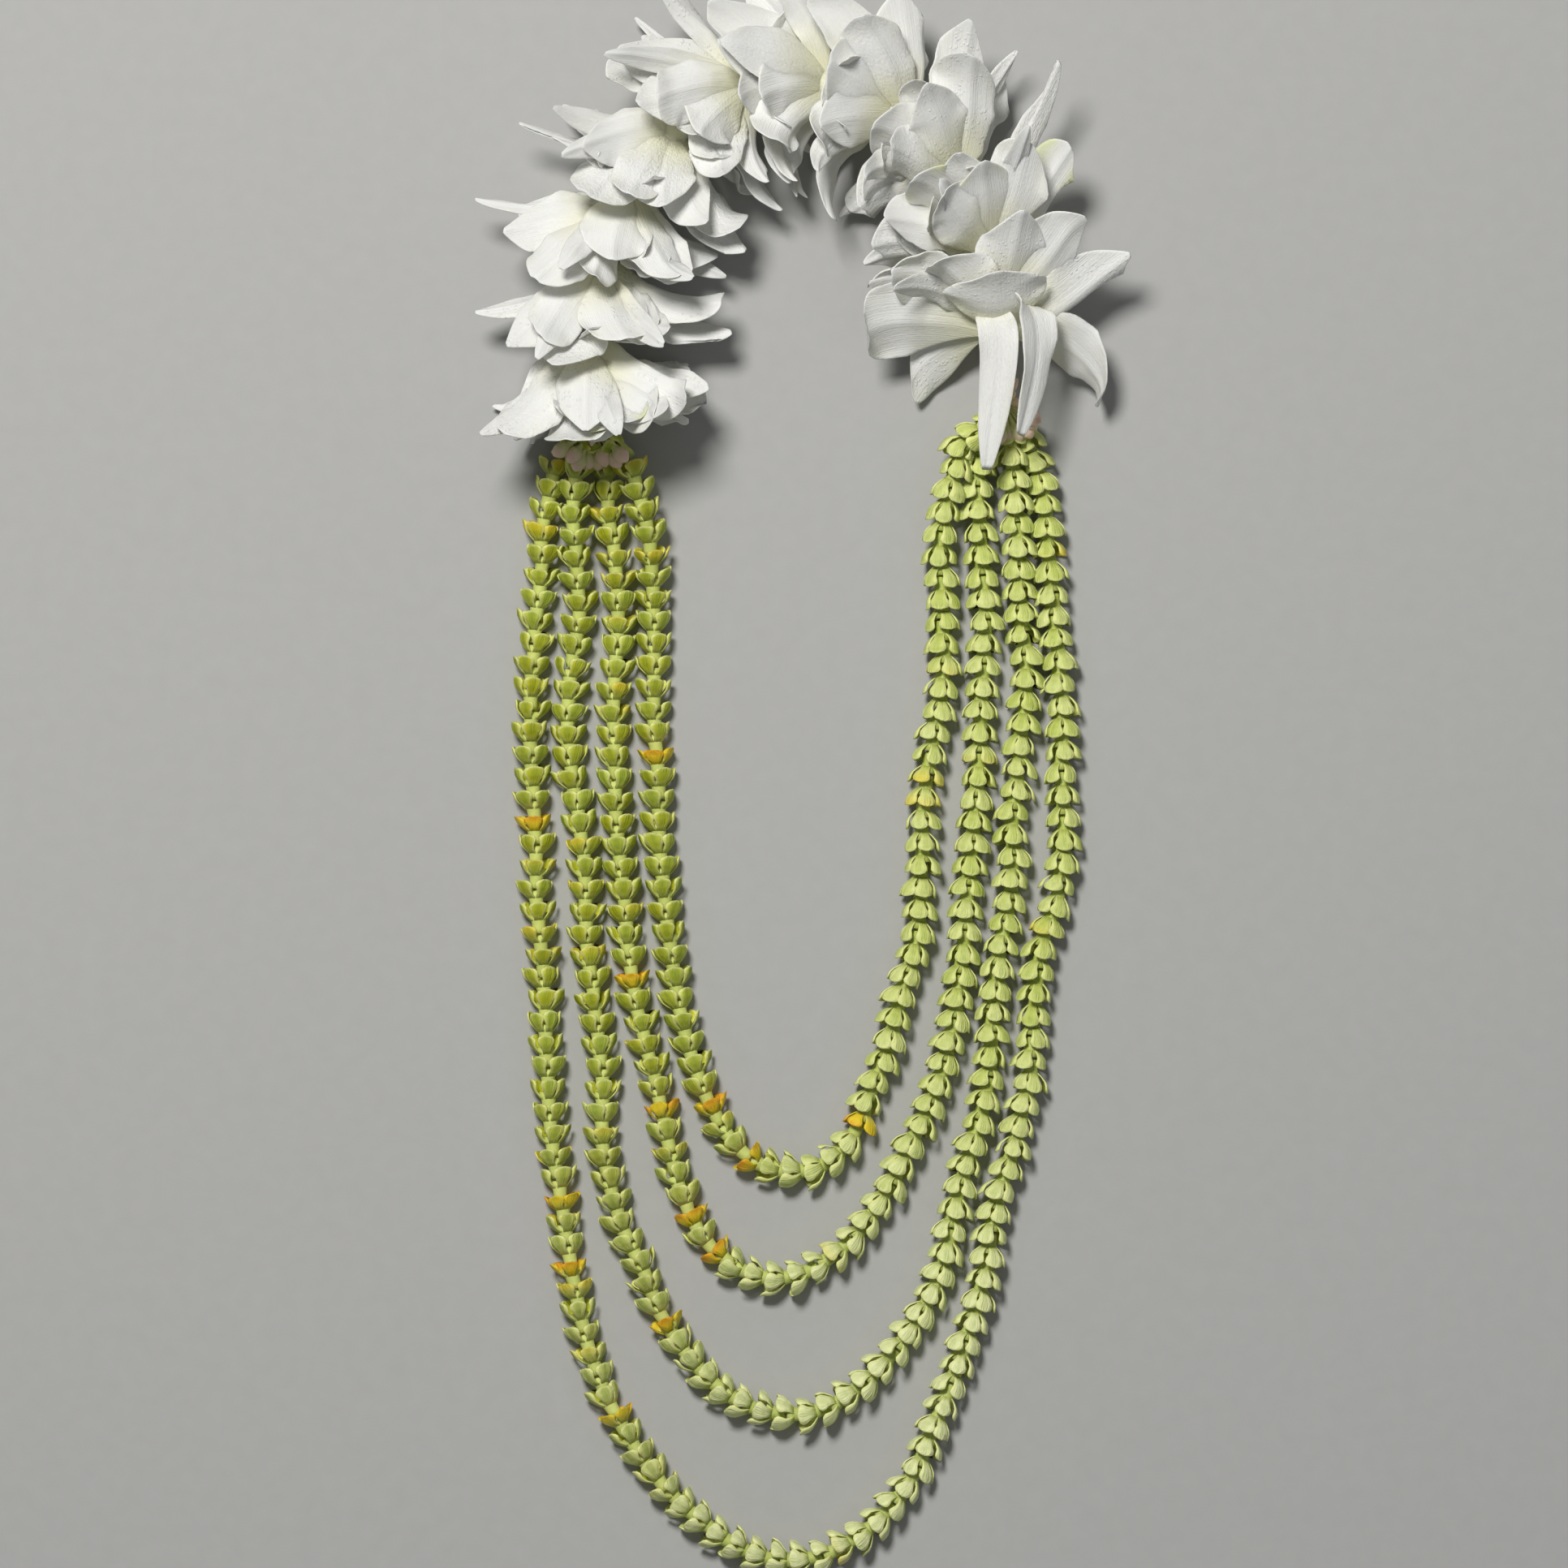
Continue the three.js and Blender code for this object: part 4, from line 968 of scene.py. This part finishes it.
FAN_ANGLE = math.radians(150)
COLLAR_CORE_PROFILE = [(0.0, 1.0), (0.02, 3.2), (0.5, 3.5), (0.98, 3.2), (1.0, 1.0)]
COLLAR_CORE = turned_pattern("collar_core", COLLAR_CORE_PROFILE, sides=12, finer=1)


def unit(vector):
    return vector / np.linalg.norm(vector)


def stood_up(x, y, height, foot, direction, level):
    """A turned form with its foot at a place and its axis along a direction."""
    first = unit(np.cross(direction, level))
    second = np.cross(direction, first)
    return foot + np.outer(x, first) + np.outer(y, second) + np.outer(height, direction)


def collar(name, node, knot, ring_end, random):
    """Fills part of the gap between a knot and the end of the garland."""
    start = knot + COLLAR_START * (ring_end - knot)
    end = knot + COLLAR_END * (start - knot)
    piece = Piece(name, node, "bud", BUD)
    along = unit(end - start)
    side = unit(np.cross(along, (0, 0, 1)))
    up = np.cross(side, along)
    x, y, depth = COLLAR_CORE.points.T
    core = start + np.outer(depth, end - start) + np.outer(x, side) + np.outer(y, up)
    piece.add(COLLAR_CORE.faces, core, along=0.1, shade=0.5)
    x, y, height = BUD_FORM.points.T
    for k in range(RING_BUDS):
        turn = 2 * math.pi * (k + between(random, 0, 0.3)) / RING_BUDS
        outwards = side * math.cos(turn) + up * math.sin(turn)
        direction = unit(outwards + along * (RING_LEAN if k % 2 == 0 else -RING_LEAN))
        places = stood_up(x, y, height, (start + end) / 2 + direction * RING_RADIUS, direction, along)
        piece.add(BUD_FORM.faces, places, along=height / BUD_LENGTH, shade=next(random))
    x, y, height = STEM_BUD.points.T
    for k in range(FAN_BUDS):
        spread = FAN_ANGLE * ((k + 0.5) / FAN_BUDS - 0.5)
        lift = up * between(random, 0.45, 0.95)
        direction = unit(along * math.cos(spread) + side * math.sin(spread) + lift)
        reach = FAN_REACH[name] * between(random, 0.8, 1.1) * (1 + 0.5 * abs(math.sin(spread)))
        drawn_out = np.where(height < 0, height * reach / STEM, height) + reach
        places = stood_up(x, y, drawn_out, end, direction, up)
        piece.add(STEM_BUD.faces, places, along=np.clip(height / BUD_LENGTH, 0, 1), shade=next(random))
    piece.build()
    return start


first_end, last_end = garland_place(np.array([0.0, GARLAND_LENGTH]), np.zeros(2), np.zeros(2))
right_start = collar("collar_right", "bud_collar_right", RIGHT_KNOT, first_end, look_random)
left_start = collar("collar_left", "bud_collar_left", LEFT_KNOT, last_end, look_random)

# %% [markdown]
# A thread runs through every strand from knot to knot, and a thicker cord, wound into a knot at each end,
# through the gardenias. Flowers hold them all the way, so each one follows the line that it is strung on.

# %% Threads and the garland's cord
THREAD_RADIUS, CORD_RADIUS = 0.45, 0.9
KNOT_RADIUS, KNOT_STRAND = 2.4, 0.8
SIDES = 8
RING_STEP = 1.5


def tube_faces(rings):
    """Faces of a tube with rings of points, then a point at each end."""
    last = rings * SIDES
    around = [(k, (k + 1) % SIDES) for k in range(SIDES)]
    walls = [(r * SIDES + a, r * SIDES + b, (r + 1) * SIDES + b, (r + 1) * SIDES + a)
             for r in range(rings - 1) for a, b in around]
    return walls + [(b, a, last) for a, b in around] + [
        (last - SIDES + a, last - SIDES + b, last + 1) for a, b in around]


def add_tube(piece, line, radius):
    route = Route(line, steps=6)
    distance = np.linspace(0, route.length, max(2, round(route.length / RING_STEP)))
    point, _, side, up = route.at(distance)
    turn = np.arange(SIDES) * 2 * math.pi / SIDES
    ring = side[:, None] * np.cos(turn)[None, :, None] + up[:, None] * np.sin(turn)[None, :, None]
    rings = point[:, None] + radius * ring
    walked = np.concatenate([np.repeat(distance, SIDES), [0, route.length]])
    around = np.concatenate([np.tile(turn / (2 * math.pi), len(distance)), [0, 0]])
    places = np.vstack([rings.reshape(-1, 3), point[:1], point[-1:]])
    piece.add(tube_faces(len(distance)), places, along=walked, across=around)


def knot_turns(centre):
    """A closed overhand knot."""
    t = np.linspace(0, 2 * math.pi, 40)
    loop = np.column_stack([np.sin(t) + 2 * np.sin(2 * t), np.cos(t) - 2 * np.cos(2 * t), -np.sin(3 * t)])
    return centre + loop * KNOT_RADIUS / 3.4


for index, route in enumerate(routes):
    inside = route.at(np.arange(0, route.length, 4))[0]
    ends = []
    for knot, point in ((RIGHT_KNOT, inside[0]), (LEFT_KNOT, route.points[-1])):
        ends.append(knot + unit(point - knot) * (KNOT_RADIUS + 0.3))
    piece = Piece(f"string_{index + 1}", f"thread_{index + 1}", "thread", THREAD)
    add_tube(piece, np.vstack([ends[0], inside, ends[1]]), THREAD_RADIUS)
    piece.build()

steps = np.linspace(0, GARLAND_LENGTH, 41)
inside = garland_place(steps, 0 * steps, 0 * steps)
piece = Piece("cord_of_garland", "garland_cord", "thread", THREAD)
add_tube(piece, np.vstack([RIGHT_KNOT, right_start, inside, left_start, LEFT_KNOT]), CORD_RADIUS)
for knot in (RIGHT_KNOT, LEFT_KNOT):
    add_tube(piece, knot_turns(knot), CORD_RADIUS * KNOT_STRAND)
piece.build()

# %% [markdown]
# ## Floor, light and camera
# The lei lies on a plain pale floor, which only has to catch its shadows.

# %% Floor
start_clean()
bpy.ops.mesh.primitive_plane_add(size=6, location=(0, 0, -0.0004))
floor = bpy.context.object
floor.name = "floor"
bpy.ops.object.transform_apply(location=True, rotation=True, scale=True)
floor.data.materials.append(FLOOR)
print("floor:", floor.name)

# %% [markdown]
# White petals lose their shape in even light. So one soft light stands high, beyond the garland and a little
# to the left, and every petal shades the next one. A weak wide light and a faint sky keep the shadows open.
# The plain view transform leaves the whites and greens as bright as their finishes say.


# %% Light
def soft_light(name, place, size, power, tint):
    """A round light that faces the middle of the lei."""
    data = bpy.data.lights.new(name, "AREA")
    data.shape, data.size, data.energy, data.color = "DISK", size, power, tint
    light = bpy.data.objects.new(name, data)
    bpy.context.scene.collection.objects.link(light)
    light.location = place
    x, y, height = place
    light.rotation_euler = (math.atan2(math.hypot(x, y), height), 0, math.atan2(x, -y))
    print(name, power, "watts")


soft_light("key_light", (-0.42, 0.92, 1.9), size=0.55, power=40.5, tint=(1.0, 0.985, 0.96))
soft_light("fill_light", (1.0, -0.6, 1.8), size=1.6, power=1.5, tint=(0.95, 0.98, 1.0))
world = bpy.data.worlds.new("studio")
bpy.context.scene.world = world
world.use_nodes = True
sky = world.node_tree.nodes["Background"].inputs
sky["Color"].default_value = (0.92, 0.95, 1.0, 1)
sky["Strength"].default_value = 0.15
bpy.context.scene.view_settings.view_transform = "Standard"

# %% [markdown]
# The camera looks straight down on a square of floor. It stands far off with a long lens, so that the raised
# blooms look no larger than the strands that lie flat.

# %% Camera
FRAME_WIDTH = 0.541
CAMERA_HEIGHT = 3.5
SENSOR_WIDTH = 36
camera_data = bpy.data.cameras.new("camera")
camera_data.sensor_width = SENSOR_WIDTH
camera_data.lens = SENSOR_WIDTH * CAMERA_HEIGHT / FRAME_WIDTH
camera = bpy.data.objects.new("camera", camera_data)
bpy.context.scene.collection.objects.link(camera)
camera.location = (-0.0073, -0.0008, CAMERA_HEIGHT)
bpy.context.scene.camera = camera
print("camera", camera.location[:], "lens", round(camera_data.lens, 1))
